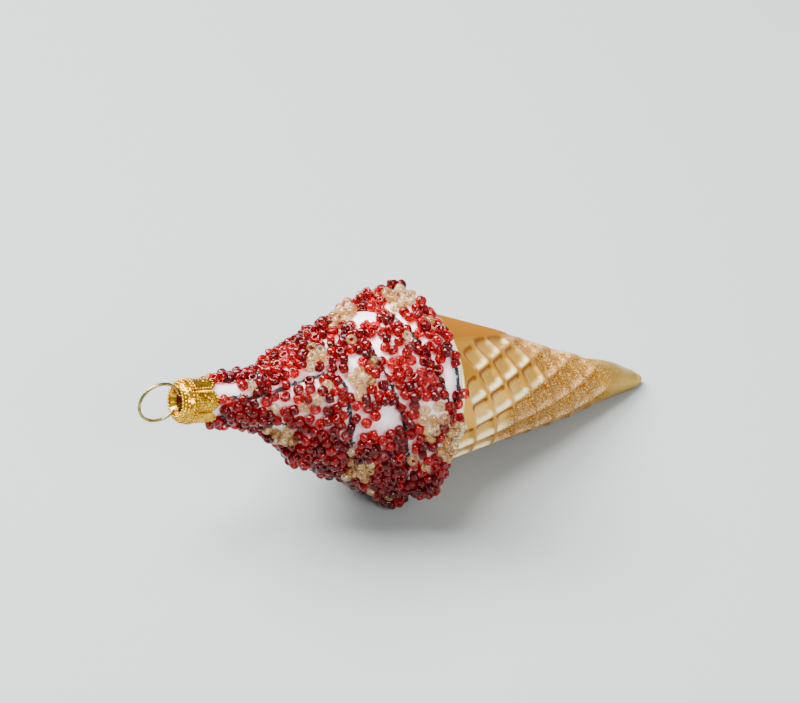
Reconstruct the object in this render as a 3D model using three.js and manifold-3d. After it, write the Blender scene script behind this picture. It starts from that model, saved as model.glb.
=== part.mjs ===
// A hanging glass ornament in the form of a soft-serve ice cream in a waffle cone.
// It lies on its side: the widest part of the swirl and the tip of the cone carry it.
//
// Every piece is made about its own long axis, which runs along local +Z from the tip of the
// cone (station 0) to the metal cap. A station is a distance along that axis. The last step
// leans the axis over, so that +Z is up and +X points towards the tip. All sizes are millimetres.

import * as THREE from 'three';
import { mergeVertices } from 'three/addons/utils/BufferGeometryUtils.js';
import Module from 'manifold-3d';

const wasm = await Module();
wasm.setup();

// Waffle cone
const NUB_RADIUS = 1.3;
const NUB_TURNS_DEG = [35, 70];
const CONE_HALF_ANGLE = THREE.MathUtils.degToRad(14.15);
const CONE_APEX_STATION = -5.6;
const CONE_TOP_STATION = 60.9;
const CONE_EDGE_ROUND = 0.6;
const CONE_SEGMENTS = 24;
const CONE_ROWS = [2.6, 9, 18, 30, 44];

// The cone isn't quite straight: [station, distance] out of the plain cone, and
// [station, distance] towards its lower side
const CONE_SWELL = [[0, 0], [4, 0.1], [9, 0.25], [14, 0.3], [24, 0.5], [34, 0.5], [44, 0.3], [60.9, 0]];
const CONE_SAG = [[0, 0], [4, 0.05], [9, -0.3], [14, 0], [20, 0.4], [28, 0.5], [36, 0.1], [60.9, 0]];

// Grid of the flat wafer: two families of ridges, each with the direction square to its
// ridges, its pitch and the place of its first ridge
const GRID = [
  { turn: THREE.MathUtils.degToRad(74.9), pitch: 5.5, start: 0.68 },
  { turn: THREE.MathUtils.degToRad(-26.5), pitch: 5.7, start: 4.9 },
];
const GRID_CELLS = 16;
const POCKET_SIDES = 4;
const POCKET_SHARE = 0.9;
const POCKET_FLOOR_SHARE = 0.62;
const POCKET_DEPTH = 0.6;
const POCKET_CLEARANCE = 0.4;
const POCKET_FIRST_STATION = 13.5;
const POCKET_LAST_STATION = 57.5;

// Smooth flap of the wafer, which wraps over the grid along the top of the cone
const FLAP_START = 40;
const FLAP_MIDDLE = THREE.MathUtils.degToRad(103);
const FLAP_HALF_WIDTH = THREE.MathUtils.degToRad(33);

// Swirl: radius of the bare glass at each station, from the rim to the end of the neck
const SWIRL_OUTLINE = [
  [61.2, 17.3], [62.4, 18.7], [64.2, 20.1], [66.5, 21.0], [70, 20.1], [76, 17.4], [82, 15.0],
  [88, 12.2], [91.5, 10.2], [95, 7.7], [99, 5.7], [103, 4.7], [108, 3.9], [111, 3.6],
  [114.5, 3.4],
];

// The blown glass sags towards its lower side: [station, distance]
const SWIRL_SAG = [
  [61.2, 0], [64, 0.6], [70, 0.4], [78, 0.5], [82, 1.1], [86, 1.3], [91, 0.8], [97, 0.3],
  [106, 0.1], [110, 0], [114.5, 0],
];
const RIM_STATION = 61.2;
const RIM_LIP_WIDTH = 0.4;
const RIM_LIP_HEIGHT = 0.35;
const NECK_END_STATION = 114.5;
const SWIRL_SEGMENTS = 36;
const SWIRL_ROWS = 20;
const ROW_CROWDING = 1.2;

// Grooves between the ridges of the swirl, each a route of [angle in degrees, station].
// Angle 0 is the side of the object, 90 its upper side. Each route leaves the neck and
// winds down to the rim, or runs into the groove below it.
const GROOVES = [
  [[41, 108], [37, 104], [45, 100], [56, 96], [61, 91.5], [58, 88], [45, 86.2], [18, 85.5],
    [-14, 83.6], [-95, 77], [-150, 69], [-168, 64.8]],
  [[112, 108], [115, 101], [122, 95], [127, 88], [124, 82], [108, 79.9], [74, 79.7], [44, 78.2],
    [12, 75.2], [-12, 72.8], [-38, 68.9], [-52, 64.8]],
  [[186, 108], [189, 99], [182, 92], [165, 85], [145, 79], [127, 74.6], [110, 72.9], [84, 72.1],
    [58, 70.1], [37, 67.8], [22, 64.8]],
  [[-34, 109], [-50, 106.5], [-40, 101], [-20, 96], [-14, 93], [-22, 89.8], [-75, 86],
    [-110, 83], [-145, 78.5], [-180, 73.5], [-215, 68.3], [-232, 64.8]],
  [[-103, 108], [-102, 101], [-95, 95.5], [-107, 91], [-130, 89.5], [-160, 86.5], [-190, 82.6],
    [-214, 79.4]],
];
const RIM_GROOVE_STATION = 64.6;
const RIM_GROOVE_DEPTH = 0.35;
const RIM_GROOVE_WIDTH = 1;
const GROOVE_DEPTH = 1.25;
const GROOVE_WIDTH = 1.9;
const GROOVE_STEPS = 64;
const NECK_GROOVE_SHARE = 0.25;
const NECK_RADIUS = 3;
const BODY_RADIUS = 12;
const FIRST_GROOVED_STATION = 62.2;
const LAST_GROOVED_STATION = 110.4;
const SLOPE_STEP = 0.5;

// Glass seed beads glued to the swirl
const BEAD_RADIUS = 1.2;
const BEAD_LENGTH = 2.9;
const BEAD_SUNK = 0.7;
const BEAD_COUNT = 170;
const BEAD_SPACING = 3.5;
const BEAD_LOWEST_STATION = 63.8;
const BEAD_HIGHEST_STATION = 109.4;
const BEAD_FULLEST_STATION = 65.6;
const BEAD_SEED = 20261;
const MOST_DARTS = 60000;
const LINE_CLEARANCE = 1.15;

// Bare patches between the beads: [angle in degrees, station, half width round, half length]
const BARE_PATCHES = [
  [101, 76.8, 3.6, 2.5], [41, 66.4, 5.2, 1.9], [17, 78.4, 3.0, 2.2], [70, 108.2, 2.0, 2.6],
  [10, 83.4, 5.2, 1.6], [62, 84, 1.6, 1.4],
];

// Metal cap: a thin shell with a dished throat and a skirt cut into lobes
const CAP_RADIUS = 4.45;
const CAP_INNER_RADIUS = 4.1;
const CAP_SKIRT_STATION = 112.4;
const CAP_FLOOR_STATION = 117.3;
const CAP_OUTSIDE = [
  [CAP_RADIUS, CAP_SKIRT_STATION], [CAP_RADIUS, 116.9], [4.02, 118.1], [3.4, 118.65],
  [3.0, 118.7], [2.75, 118.5], [2.2, CAP_FLOOR_STATION],
];
const CAP_INSIDE = [
  [2.25, 116.95], [3.05, 116.95], [CAP_INNER_RADIUS, 116.6], [CAP_INNER_RADIUS, CAP_SKIRT_STATION],
];
const LOBE_COUNT = 6;
const LOBE_CENTRE_DEG = 31.5;
const LOBE_LENGTH = 1.2;
const LOBE_ROUNDNESS = 0.7;
const CREASE_DEPTH = 0.14;
const CAP_SEGMENTS = 36;

// Wire loop
const LOOP_RADIUS = 4.32;
const LOOP_STATION = 122.3;
const WIRE_RADIUS = 0.3;
const WIRE_SIDES = 8;
const WIRE_STEPS = 26;
const LOOP_POINTS = 22;
const LEG_SPREAD = 1.5;
const LEG_LEAN = 0.25;
const LEG_END_STATION = 115.6;

// Resting place: the floor plane touches the tip and cuts a little off the widest beads
const REST_STATION = 66.5;
const REST_RADIUS = 22.9;
const TIP_FLAT = 0.04;
const FLOOR_SLAB = 400;

const TAU = 2 * Math.PI;
const NEAR = 0.01;
const MERGE_DISTANCE = 1e-4;
const RANDOM_FACTOR = 1664525;
const RANDOM_STEP = 1013904223;
const RANDOM_RANGE = 2 ** 32;

// Materials

function glassMaterial(color, roughness) {
  return new THREE.MeshStandardMaterial({ color, roughness, metalness: 0.1 });
}

function metalMaterial(color, roughness) {
  return new THREE.MeshStandardMaterial({ color, roughness, metalness: 1 });
}

const swirlFinish = glassMaterial(0xf0e7e6, 0.4);
const waferFinish = glassMaterial(0xd9a04c, 0.3);
const capFinish = metalMaterial(0xd8ac36, 0.25);
const wireFinish = metalMaterial(0x8c8163, 0.3);

// Curves and distances

// A smooth curve through [x, y] pairs whose x grows, read at one x.
function smoothValue(pairs, x) {
  let i = 0;
  while (i < pairs.length - 2 && x > pairs[i + 1][0]) i += 1;
  const [x0, y0] = pairs[i];
  const [x1, y1] = pairs[i + 1];
  const before = pairs[Math.max(i - 1, 0)];
  const after = pairs[Math.min(i + 2, pairs.length - 1)];
  const span = x1 - x0;
  const slope0 = ((y1 - before[1]) / (x1 - before[0])) * span;
  const slope1 = ((after[1] - y0) / (after[0] - x0)) * span;
  const t = THREE.MathUtils.clamp((x - x0) / span, 0, 1);
  const lift = 2 * t ** 3 - 3 * t ** 2;
  return y0 + (y0 - y1) * lift + slope0 * (t ** 3 - 2 * t ** 2 + t) + slope1 * (t ** 3 - t ** 2);
}

function swirlRadius(station) {
  return smoothValue(SWIRL_OUTLINE, station);
}

// The route of a groove as many short steps, each an [angle, station] pair.
function grooveSteps(route) {
  const byCount = (column) => route.map((point, i) => [i, point[column]]);
  const angles = byCount(0);
  const stations = byCount(1);
  const steps = [];
  for (let i = 0; i <= GROOVE_STEPS; i += 1) {
    const t = (i / GROOVE_STEPS) * (route.length - 1);
    steps.push([THREE.MathUtils.degToRad(smoothValue(angles, t)), smoothValue(stations, t)]);
  }
  return steps;
}

const grooveRoutes = GROOVES.map(grooveSteps);

function turnBetween(a, b) {
  const turn = (a - b) % TAU;
  if (turn > Math.PI) return turn - TAU;
  if (turn < -Math.PI) return turn + TAU;
  return turn;
}

// Distance along the glass from a place to the nearest groove, within a step of its route.
function grooveDistance(angle, station) {
  const radius = swirlRadius(station);
  let nearest = Infinity;
  for (const steps of grooveRoutes) {
    for (const [stepAngle, stepStation] of steps) {
      const round = turnBetween(angle, stepAngle) * radius;
      const along = station - stepStation;
      nearest = Math.min(nearest, round * round + along * along);
    }
  }
  return Math.sqrt(nearest);
}

function valley(distance, width) {
  return Math.exp(-((distance / width) ** 2));
}

// Solids

// The same shape with shared vertices merged and the collapsed triangles at its poles dropped.
function closedGeometry(geometry) {
  const bare = geometry.clone();
  bare.deleteAttribute('normal');
  bare.deleteAttribute('uv');
  const merged = mergeVertices(bare, MERGE_DISTANCE);
  const index = [];
  for (let i = 0; i < merged.index.count; i += 3) {
    const [a, b, c] = [0, 1, 2].map((k) => merged.index.getX(i + k));
    if (a !== b && b !== c && c !== a) index.push(a, b, c);
  }
  merged.setIndex(index);
  return merged;
}

function solidOf(geometry) {
  const closed = closedGeometry(geometry);
  return new wasm.Manifold(new wasm.Mesh({
    numProp: 3,
    vertProperties: new Float32Array(closed.attributes.position.array),
    triVerts: new Uint32Array(closed.index.array),
  }));
}

function geometryOf(solid) {
  const { vertProperties, triVerts } = solid.getMesh();
  const geometry = new THREE.BufferGeometry();
  geometry.setAttribute('position', new THREE.BufferAttribute(vertProperties, 3));
  geometry.setIndex(new THREE.BufferAttribute(triVerts, 1));
  return geometry;
}

// A surface of revolution about Z from [radius, station] pairs, moved point by point.
function turned(pairs, segments, startAngle, place) {
  const profile = pairs.map(([radius, station]) => new THREE.Vector2(radius, station));
  const geometry = new THREE.LatheGeometry(profile, segments, startAngle);
  geometry.rotateX(Math.PI / 2);
  const position = geometry.attributes.position;
  for (let i = 0; i < position.count; i += 1) {
    const radius = Math.hypot(position.getX(i), position.getY(i));
    const angle = Math.atan2(position.getY(i), position.getX(i));
    const [newRadius, newStation] = place(radius, angle, position.getZ(i));
    position.setXYZ(i, newRadius * Math.cos(angle), newRadius * Math.sin(angle), newStation);
  }
  return geometry;
}

// Moves each point towards the lower side by its station's distance.
function sagged(geometry, sag) {
  const position = geometry.attributes.position;
  for (let i = 0; i < position.count; i += 1) {
    position.setY(i, position.getY(i) - smoothValue(sag, position.getZ(i)));
  }
  return geometry;
}

// Resting place: how far the axis leans, from the tip's ball and the belly's distance

const restReach = REST_STATION - NUB_RADIUS;
const lean = Math.atan2(REST_RADIUS, restReach)
  - Math.asin(NUB_RADIUS / Math.hypot(REST_RADIUS, restReach));

// Carries the local frame into the resting one, with the tip's ball standing on the floor.
function restingMatrix() {
  const side = new THREE.Vector3(0, -1, 0);
  const upper = new THREE.Vector3(Math.sin(lean), 0, Math.cos(lean));
  const axis = new THREE.Vector3(-Math.cos(lean), 0, Math.sin(lean));
  const matrix = new THREE.Matrix4().makeBasis(side, upper, axis);
  const ballCentre = new THREE.Vector3(0, 0, NUB_RADIUS - TIP_FLAT);
  return matrix.setPosition(ballCentre.addScaledVector(axis, -NUB_RADIUS));
}

// Cuts off what would be below the floor, so that the piece stands on flats.
function trimmedByFloor(solid) {
  const slab = new THREE.BoxGeometry(FLOOR_SLAB, FLOOR_SLAB, FLOOR_SLAB);
  slab.translate(0, 0, -FLOOR_SLAB / 2);
  slab.applyMatrix4(restingMatrix().invert());
  return solid.subtract(solidOf(slab));
}

// Waffle cone

function coneRadius(station) {
  const plain = (station - CONE_APEX_STATION) * Math.tan(CONE_HALF_ANGLE);
  return plain + smoothValue(CONE_SWELL, station);
}

// The flap is widest at the rim and comes to a point at its start.
function onFlap(angle, station) {
  const along = (station - FLAP_START) / (CONE_TOP_STATION - FLAP_START);
  const halfWidth = FLAP_HALF_WIDTH * Math.sqrt(Math.max(along, 0));
  return Math.abs(turnBetween(angle, FLAP_MIDDLE)) < halfWidth;
}

// The point of the flat wafer at given distances across the two families of ridges.
function waferPoint(across) {
  const [a, b] = GRID.map((family) => family.turn);
  const x = (across[0] * Math.sin(b) - across[1] * Math.sin(a)) / Math.sin(b - a);
  const y = (across[1] * Math.cos(a) - across[0] * Math.cos(b)) / Math.sin(b - a);
  return new THREE.Vector2(x, y);
}

// Where a point of the flat wafer comes to lie once the wafer is rolled into the cone.
function rolled(point) {
  const slant = point.length();
  return {
    angle: Math.atan2(point.y, point.x) / Math.sin(CONE_HALF_ANGLE),
    station: CONE_APEX_STATION + slant * Math.cos(CONE_HALF_ANGLE),
  };
}

function coneNormal(angle) {
  const level = Math.cos(CONE_HALF_ANGLE);
  const slope = -Math.sin(CONE_HALF_ANGLE);
  return new THREE.Vector3(level * Math.cos(angle), level * Math.sin(angle), slope);
}

// Turns a short step on the flat wafer, taken at a point of it, into a step on the cone.
function rolledStep(step, point) {
  const { angle } = rolled(point);
  const turn = step.angle() - Math.atan2(point.y, point.x);
  const [level, slope] = [Math.sin(CONE_HALF_ANGLE), Math.cos(CONE_HALF_ANGLE)];
  const upSlant = new THREE.Vector3(level * Math.cos(angle), level * Math.sin(angle), slope);
  const round = new THREE.Vector3(-Math.sin(angle), Math.cos(angle), 0);
  upSlant.multiplyScalar(step.length() * Math.cos(turn));
  return upSlant.addScaledVector(round, step.length() * Math.sin(turn));
}

// A tapered four-sided plug whose lower end is the floor of one pocket of the grid.
function pocketGeometry(point) {
  const { angle, station } = rolled(point);
  const normal = coneNormal(angle);
  const corner = Math.SQRT2;
  const height = POCKET_DEPTH + POCKET_CLEARANCE;
  const floor = corner * POCKET_FLOOR_SHARE;
  const plug = new THREE.CylinderGeometry(corner, floor, height, POCKET_SIDES);
  plug.rotateY(Math.PI / POCKET_SIDES);
  plug.translate(0, height / 2 - POCKET_DEPTH, 0);
  const halfSides = [[1, 0], [0, 1]].map(([first, second]) => {
    const step = waferPoint([first * GRID[0].pitch, second * GRID[1].pitch]);
    return rolledStep(step.multiplyScalar(POCKET_SHARE / 2), point);
  });
  const radius = coneRadius(station);
  const middle = new THREE.Vector3(radius * Math.cos(angle), radius * Math.sin(angle), station);
  const matrix = new THREE.Matrix4().makeBasis(halfSides[1], normal, halfSides[0]);
  return sagged(plug.applyMatrix4(matrix.setPosition(middle)), CONE_SAG);
}

// The middles of all the pockets that lie between the tip and the rim, off flap and seam.
function pocketPoints() {
  const points = [];
  for (let i = -GRID_CELLS; i < GRID_CELLS; i += 1) {
    for (let j = -GRID_CELLS; j < GRID_CELLS; j += 1) {
      const cell = [i, j].map((n, k) => GRID[k].start + (n + 0.5) * GRID[k].pitch);
      const point = waferPoint(cell);
      const { angle, station } = rolled(point);
      const inReach = station > POCKET_FIRST_STATION && station < POCKET_LAST_STATION;
      const fromSeam = Math.PI - Math.abs(angle);
      const offSeam = fromSeam * coneRadius(station) > GRID[1].pitch / 2;
      if (inReach && offSeam && !onFlap(angle, station)) points.push(point);
    }
  }
  return points;
}

function plainConeGeometry() {
  const pairs = [[0, 0]];
  for (const turn of NUB_TURNS_DEG) {
    const round = THREE.MathUtils.degToRad(turn);
    pairs.push([NUB_RADIUS * Math.sin(round), NUB_RADIUS * (1 - Math.cos(round))]);
  }
  const last = CONE_TOP_STATION - CONE_EDGE_ROUND;
  for (const station of [...CONE_ROWS, last]) {
    pairs.push([coneRadius(station), station]);
  }
  pairs.push([coneRadius(last) - CONE_EDGE_ROUND / 2, CONE_TOP_STATION], [0, CONE_TOP_STATION]);
  const straight = turned(pairs, CONE_SEGMENTS, 0, (radius, angle, station) => [radius, station]);
  return sagged(straight, CONE_SAG);
}

function coneGeometry() {
  let solid = solidOf(plainConeGeometry());
  for (const point of pocketPoints()) {
    solid = solid.subtract(solidOf(pocketGeometry(point)));
  }
  return geometryOf(trimmedByFloor(solid));
}

// Swirl and its beads

// How far the glass lies inside its plain outline, which it does in the grooves.
function glassSink(angle, station) {
  if (station < FIRST_GROOVED_STATION || station > LAST_GROOVED_STATION) return 0;
  const groove = GROOVE_DEPTH * valley(grooveDistance(angle, station), GROOVE_WIDTH);
  const rim = RIM_GROOVE_DEPTH * valley(station - RIM_GROOVE_STATION, RIM_GROOVE_WIDTH);
  const bodyShare = THREE.MathUtils.smoothstep(swirlRadius(station), NECK_RADIUS, BODY_RADIUS);
  return groove * THREE.MathUtils.lerp(NECK_GROOVE_SHARE, 1, bodyShare) + rim;
}

function swirlGeometry() {
  const pairs = [[0, RIM_STATION]];
  const rimRadius = swirlRadius(RIM_STATION);
  pairs.push([rimRadius, RIM_STATION]);
  pairs.push([rimRadius + RIM_LIP_WIDTH, RIM_STATION + RIM_LIP_HEIGHT]);
  for (let i = 1; i <= SWIRL_ROWS; i += 1) {
    const share = (i / SWIRL_ROWS) ** ROW_CROWDING;
    const station = THREE.MathUtils.lerp(RIM_STATION, NECK_END_STATION, share);
    pairs.push([swirlRadius(station), station]);
  }
  pairs.push([0, NECK_END_STATION]);
  const straight = turned(pairs, SWIRL_SEGMENTS, 0, (radius, angle, station) => [
    radius - glassSink(angle, station), station,
  ]);
  return sagged(straight, SWIRL_SAG);
}

// A repeatable stream of numbers between 0 and 1.
function seededRandom(seed) {
  let state = seed;
  return () => {
    state = (Math.imul(state, RANDOM_FACTOR) + RANDOM_STEP) >>> 0;
    return state / RANDOM_RANGE;
  };
}

function onBarePatch(angle, station) {
  return BARE_PATCHES.some(([patchDeg, patchStation, halfRound, halfLength]) => {
    const turn = turnBetween(angle, THREE.MathUtils.degToRad(patchDeg));
    const round = (turn * swirlRadius(patchStation)) / halfRound;
    const along = (station - patchStation) / halfLength;
    return round * round + along * along < 1;
  });
}

// The direction straight out of the plain glass at a place.
function glassNormal(angle, station) {
  const rise = swirlRadius(station + SLOPE_STEP) - swirlRadius(station - SLOPE_STEP);
  const slope = rise / (2 * SLOPE_STEP);
  return new THREE.Vector3(Math.cos(angle), Math.sin(angle), -slope).normalize();
}

// The middle of a bead whose lower end is sunk into the glass.
function beadCentre(angle, station) {
  const radius = swirlRadius(station);
  const upward = radius * Math.sin(angle) - smoothValue(SWIRL_SAG, station);
  const foot = new THREE.Vector3(radius * Math.cos(angle), upward, station);
  const lift = BEAD_LENGTH / 2 - BEAD_SUNK - glassSink(angle, station);
  return foot.addScaledVector(glassNormal(angle, station), lift);
}

// Scatters the beads evenly over the glass, clear of bare patches and groove lines.
function scatterBeads() {
  const random = seededRandom(BEAD_SEED);
  const widest = swirlRadius(BEAD_FULLEST_STATION);
  const beads = [];
  for (let dart = 0; dart < MOST_DARTS && beads.length < BEAD_COUNT; dart += 1) {
    const angle = (random() - 0.5) * TAU;
    const station = THREE.MathUtils.lerp(BEAD_LOWEST_STATION, BEAD_HIGHEST_STATION, random());
    const keep = random();
    if (keep > swirlRadius(station) / widest || onBarePatch(angle, station)) continue;
    if (grooveDistance(angle, station) < LINE_CLEARANCE) continue;
    const centre = beadCentre(angle, station);
    if (beads.some((bead) => bead.centre.distanceTo(centre) < BEAD_SPACING)) continue;
    beads.push({ centre, axis: glassNormal(angle, station) });
  }
  return beads;
}

// A round bead drawn out a little away from the glass, as its neighbours pile up round it.
function beadGeometry(bead) {
  const geometry = new THREE.IcosahedronGeometry(BEAD_RADIUS);
  geometry.scale(1, BEAD_LENGTH / (2 * BEAD_RADIUS), 1);
  geometry.applyQuaternion(
    new THREE.Quaternion().setFromUnitVectors(new THREE.Vector3(0, 1, 0), bead.axis),
  );
  return geometry.translate(bead.centre.x, bead.centre.y, bead.centre.z);
}

function beadedSwirlGeometry() {
  let solid = solidOf(swirlGeometry());
  for (const bead of scatterBeads()) {
    solid = solid.add(solidOf(beadGeometry(bead)));
  }
  return geometryOf(trimmedByFloor(solid));
}

// Cap and loop

// Share of a lobe's length at an angle: 1 at its middle and 0 at the crease beside it.
function lobeShare(angle) {
  const turn = turnBetween(angle, THREE.MathUtils.degToRad(LOBE_CENTRE_DEG));
  return Math.abs(Math.cos((turn * LOBE_COUNT) / 2)) ** LOBE_ROUNDNESS;
}

function capGeometry() {
  const pairs = [...CAP_OUTSIDE, ...CAP_INSIDE, CAP_OUTSIDE[0]];
  const creaseAngle = THREE.MathUtils.degToRad(LOBE_CENTRE_DEG + 180 / LOBE_COUNT + 90);
  return turned(pairs, CAP_SEGMENTS, creaseAngle, (radius, angle, station) => {
    const share = lobeShare(angle);
    const onSide = radius > CAP_RADIUS - NEAR;
    const onSkirt = station < CAP_SKIRT_STATION + NEAR;
    const newRadius = onSide ? radius - CREASE_DEPTH * (1 - share) : radius;
    return [newRadius, onSkirt ? station - LOBE_LENGTH * share : station];
  });
}

// The wire comes up out of the throat, round the loop and back down.
function loopPath() {
  const points = [];
  const open = Math.asin((LEG_SPREAD + LEG_LEAN) / LOOP_RADIUS);
  points.push(new THREE.Vector3(0, -LEG_SPREAD, LEG_END_STATION));
  points.push(new THREE.Vector3(0, -LEG_SPREAD, CAP_FLOOR_STATION));
  for (let i = 0; i <= LOOP_POINTS; i += 1) {
    const turn = THREE.MathUtils.lerp(open, TAU - open, i / LOOP_POINTS);
    const y = -LOOP_RADIUS * Math.sin(turn);
    points.push(new THREE.Vector3(0, y, LOOP_STATION - LOOP_RADIUS * Math.cos(turn)));
  }
  points.push(new THREE.Vector3(0, LEG_SPREAD, CAP_FLOOR_STATION));
  points.push(new THREE.Vector3(0, LEG_SPREAD, LEG_END_STATION));
  return new THREE.CatmullRomCurve3(points);
}

function loopGeometry() {
  const section = new THREE.Shape();
  for (let i = 0; i < WIRE_SIDES; i += 1) {
    const turn = (i / WIRE_SIDES) * TAU;
    const [x, y] = [WIRE_RADIUS * Math.cos(turn), WIRE_RADIUS * Math.sin(turn)];
    if (i === 0) section.moveTo(x, y);
    else section.lineTo(x, y);
  }
  section.closePath();
  return new THREE.ExtrudeGeometry(section, {
    steps: WIRE_STEPS,
    bevelEnabled: false,
    extrudePath: loopPath(),
  });
}

// Object

function namedMesh(name, geometry, material) {
  const mesh = new THREE.Mesh(geometry, material);
  mesh.name = name;
  return mesh;
}

function lyingOrnament() {
  const ornament = new THREE.Group();
  ornament.add(
    namedMesh('beaded_swirl', beadedSwirlGeometry(), swirlFinish),
    namedMesh('waffle_cone', coneGeometry(), waferFinish),
    namedMesh('metal_cap', closedGeometry(capGeometry()), capFinish),
    namedMesh('wire_loop', closedGeometry(loopGeometry()), wireFinish),
  );
  ornament.applyMatrix4(restingMatrix());
  return ornament;
}

// Puts the middle of the footprint over the origin, with the lowest point on the floor.
function centred(group) {
  group.updateMatrixWorld(true);
  const box = new THREE.Box3().setFromObject(group, true);
  const middle = box.getCenter(new THREE.Vector3());
  group.position.x -= middle.x;
  group.position.y -= middle.y;
  return group;
}

export default centred(lyingOrnament());
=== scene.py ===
"""A blown-glass hanging ornament in the form of a soft-serve ice cream in a waffle cone.

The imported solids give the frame, and this script builds the finished surfaces on them: the white
swirl with its grooves, the seed beads, the black glitter lines, the lacquered waffle cone, the
pressed metal cap and the wire loop. Every piece is made in millimetres about the ornament's own
axis, which runs along local +Z from the tip of the cone (station 0) to the cap, and is then carried
into the frame. Angle 0 is the side of the ornament that faces the camera, 90 its upper side.
"""

import logging
import math
from collections.abc import Callable, Iterator, Sequence
from dataclasses import dataclass, field
from enum import Enum
from functools import cached_property

import bmesh
import bpy
import numpy as np
from mathutils import Matrix, Vector
from mathutils.kdtree import KDTree


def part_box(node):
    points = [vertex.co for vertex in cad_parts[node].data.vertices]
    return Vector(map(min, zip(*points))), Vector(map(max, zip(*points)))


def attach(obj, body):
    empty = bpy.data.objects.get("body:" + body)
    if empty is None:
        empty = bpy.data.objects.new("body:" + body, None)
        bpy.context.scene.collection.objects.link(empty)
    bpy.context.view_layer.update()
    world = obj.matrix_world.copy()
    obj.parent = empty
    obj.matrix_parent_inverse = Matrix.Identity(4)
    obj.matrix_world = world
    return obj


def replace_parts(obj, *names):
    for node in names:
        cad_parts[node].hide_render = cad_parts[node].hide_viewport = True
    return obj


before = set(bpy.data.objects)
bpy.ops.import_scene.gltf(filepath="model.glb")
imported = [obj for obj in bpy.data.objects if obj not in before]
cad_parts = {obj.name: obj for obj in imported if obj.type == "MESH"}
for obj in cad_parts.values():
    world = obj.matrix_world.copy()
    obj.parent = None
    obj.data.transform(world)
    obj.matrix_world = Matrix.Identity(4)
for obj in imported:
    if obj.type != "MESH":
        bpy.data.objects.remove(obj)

log = logging.getLogger("ornament")

BODY = "root"
MM = 0.001
TURN = 2 * math.pi
PHOTO_WIDTH = 800

# Longest step across a flat end, in millimetres, and the range of most of a noise's shades.
END_STEP = 2.5
CLOUDS = (0.3, 0.7)

Colour = tuple[float, float, float, float]
Stops = tuple[tuple[float, Colour], ...]
Range = tuple[float, float]
Curve = tuple[tuple[float, float], ...]
Numbers = np.ndarray | float
Line = Sequence[tuple[float, float]]
Patches = tuple[tuple[float, float, float, float], ...]
Spots = tuple[tuple[float, float, float], ...]
Moved = tuple[np.ndarray, np.ndarray]
Place = Callable[[np.ndarray, np.ndarray, np.ndarray], Moved]
Skin = bmesh.types.BMesh
Socket = bpy.types.NodeSocket


def paint(red: int, green: int, blue: int) -> Colour:
    """Gives a screen colour as the linear colour that shaders use.

    Args:
        red: Red from 0 to 255.
        green: Green from 0 to 255.
        blue: Blue from 0 to 255.

    Returns:
        The linear colour with full alpha.
    """
    shares = [value / 255 for value in (red, green, blue)]
    linear = [s / 12.92 if s <= 0.04045 else ((s + 0.055) / 1.055) ** 2.4 for s in shares]
    return (*linear, 1.0)


def smoothstep(value: Numbers, low: float, high: float) -> np.ndarray:
    """Rises smoothly from 0 at low to 1 at high.

    Args:
        value: Where the curve is read.
        low: End of the 0 stretch.
        high: Start of the 1 stretch.

    Returns:
        The share, of the same shape as value.
    """
    share = np.clip((np.asarray(value, float) - low) / (high - low), 0, 1)
    return share * share * (3 - 2 * share)


def smooth_value(pairs: Line, x: Numbers) -> np.ndarray:
    """Reads a smooth curve through pairs whose first value grows.

    Args:
        pairs: The curve's points.
        x: Where the curve is read.

    Returns:
        The curve's value at each x.
    """
    table = np.array(pairs, float)
    x = np.asarray(x, float)
    i = np.searchsorted(table[1:-1, 0], x, side="left")
    before = table[np.maximum(i - 1, 0)]
    start, end = table[i], table[i + 1]
    after = table[np.minimum(i + 2, len(table) - 1)]
    span = end[..., 0] - start[..., 0]
    slope0 = (end[..., 1] - before[..., 1]) / (end[..., 0] - before[..., 0]) * span
    slope1 = (after[..., 1] - start[..., 1]) / (after[..., 0] - start[..., 0]) * span
    t = np.clip((x - start[..., 0]) / span, 0, 1)
    lift = 2 * t**3 - 3 * t**2
    ease = slope0 * (t**3 - 2 * t**2 + t) + slope1 * (t**3 - t**2)
    return start[..., 1] + (start[..., 1] - end[..., 1]) * lift + ease


def turn_between(a: Numbers, b: Numbers) -> np.ndarray:
    """Gives the turn from angle b to angle a, the short way round.

    Args:
        a: Angles in radians.
        b: Angles in radians.

    Returns:
        The turns, from -pi to pi.
    """
    return (np.asarray(a) - b + math.pi) % TURN - math.pi


class Draws:
    """A repeatable stream of numbers between 0 and 1, the same one as the solids use."""

    def __init__(self, seed: int) -> None:
        """Starts the stream at a seed."""
        self.state = seed

    def next(self) -> float:
        """Gives the next number of the stream."""
        self.state = (self.state * 1664525 + 1013904223) & 0xFFFFFFFF
        return self.state / 4294967296

    def between(self, low: float, high: float) -> float:
        """Gives the next number of the stream, scaled to a range."""
        return low + (high - low) * self.next()

    def direction(self) -> Vector:
        """Gives a direction that is as likely to point one way as any other.

        Returns:
            The direction, of length 1.
        """
        height = self.between(-1, 1)
        turn = self.between(0, TURN)
        level = math.sqrt(1 - height * height)
        return Vector((level * math.cos(turn), level * math.sin(turn), height))


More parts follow.
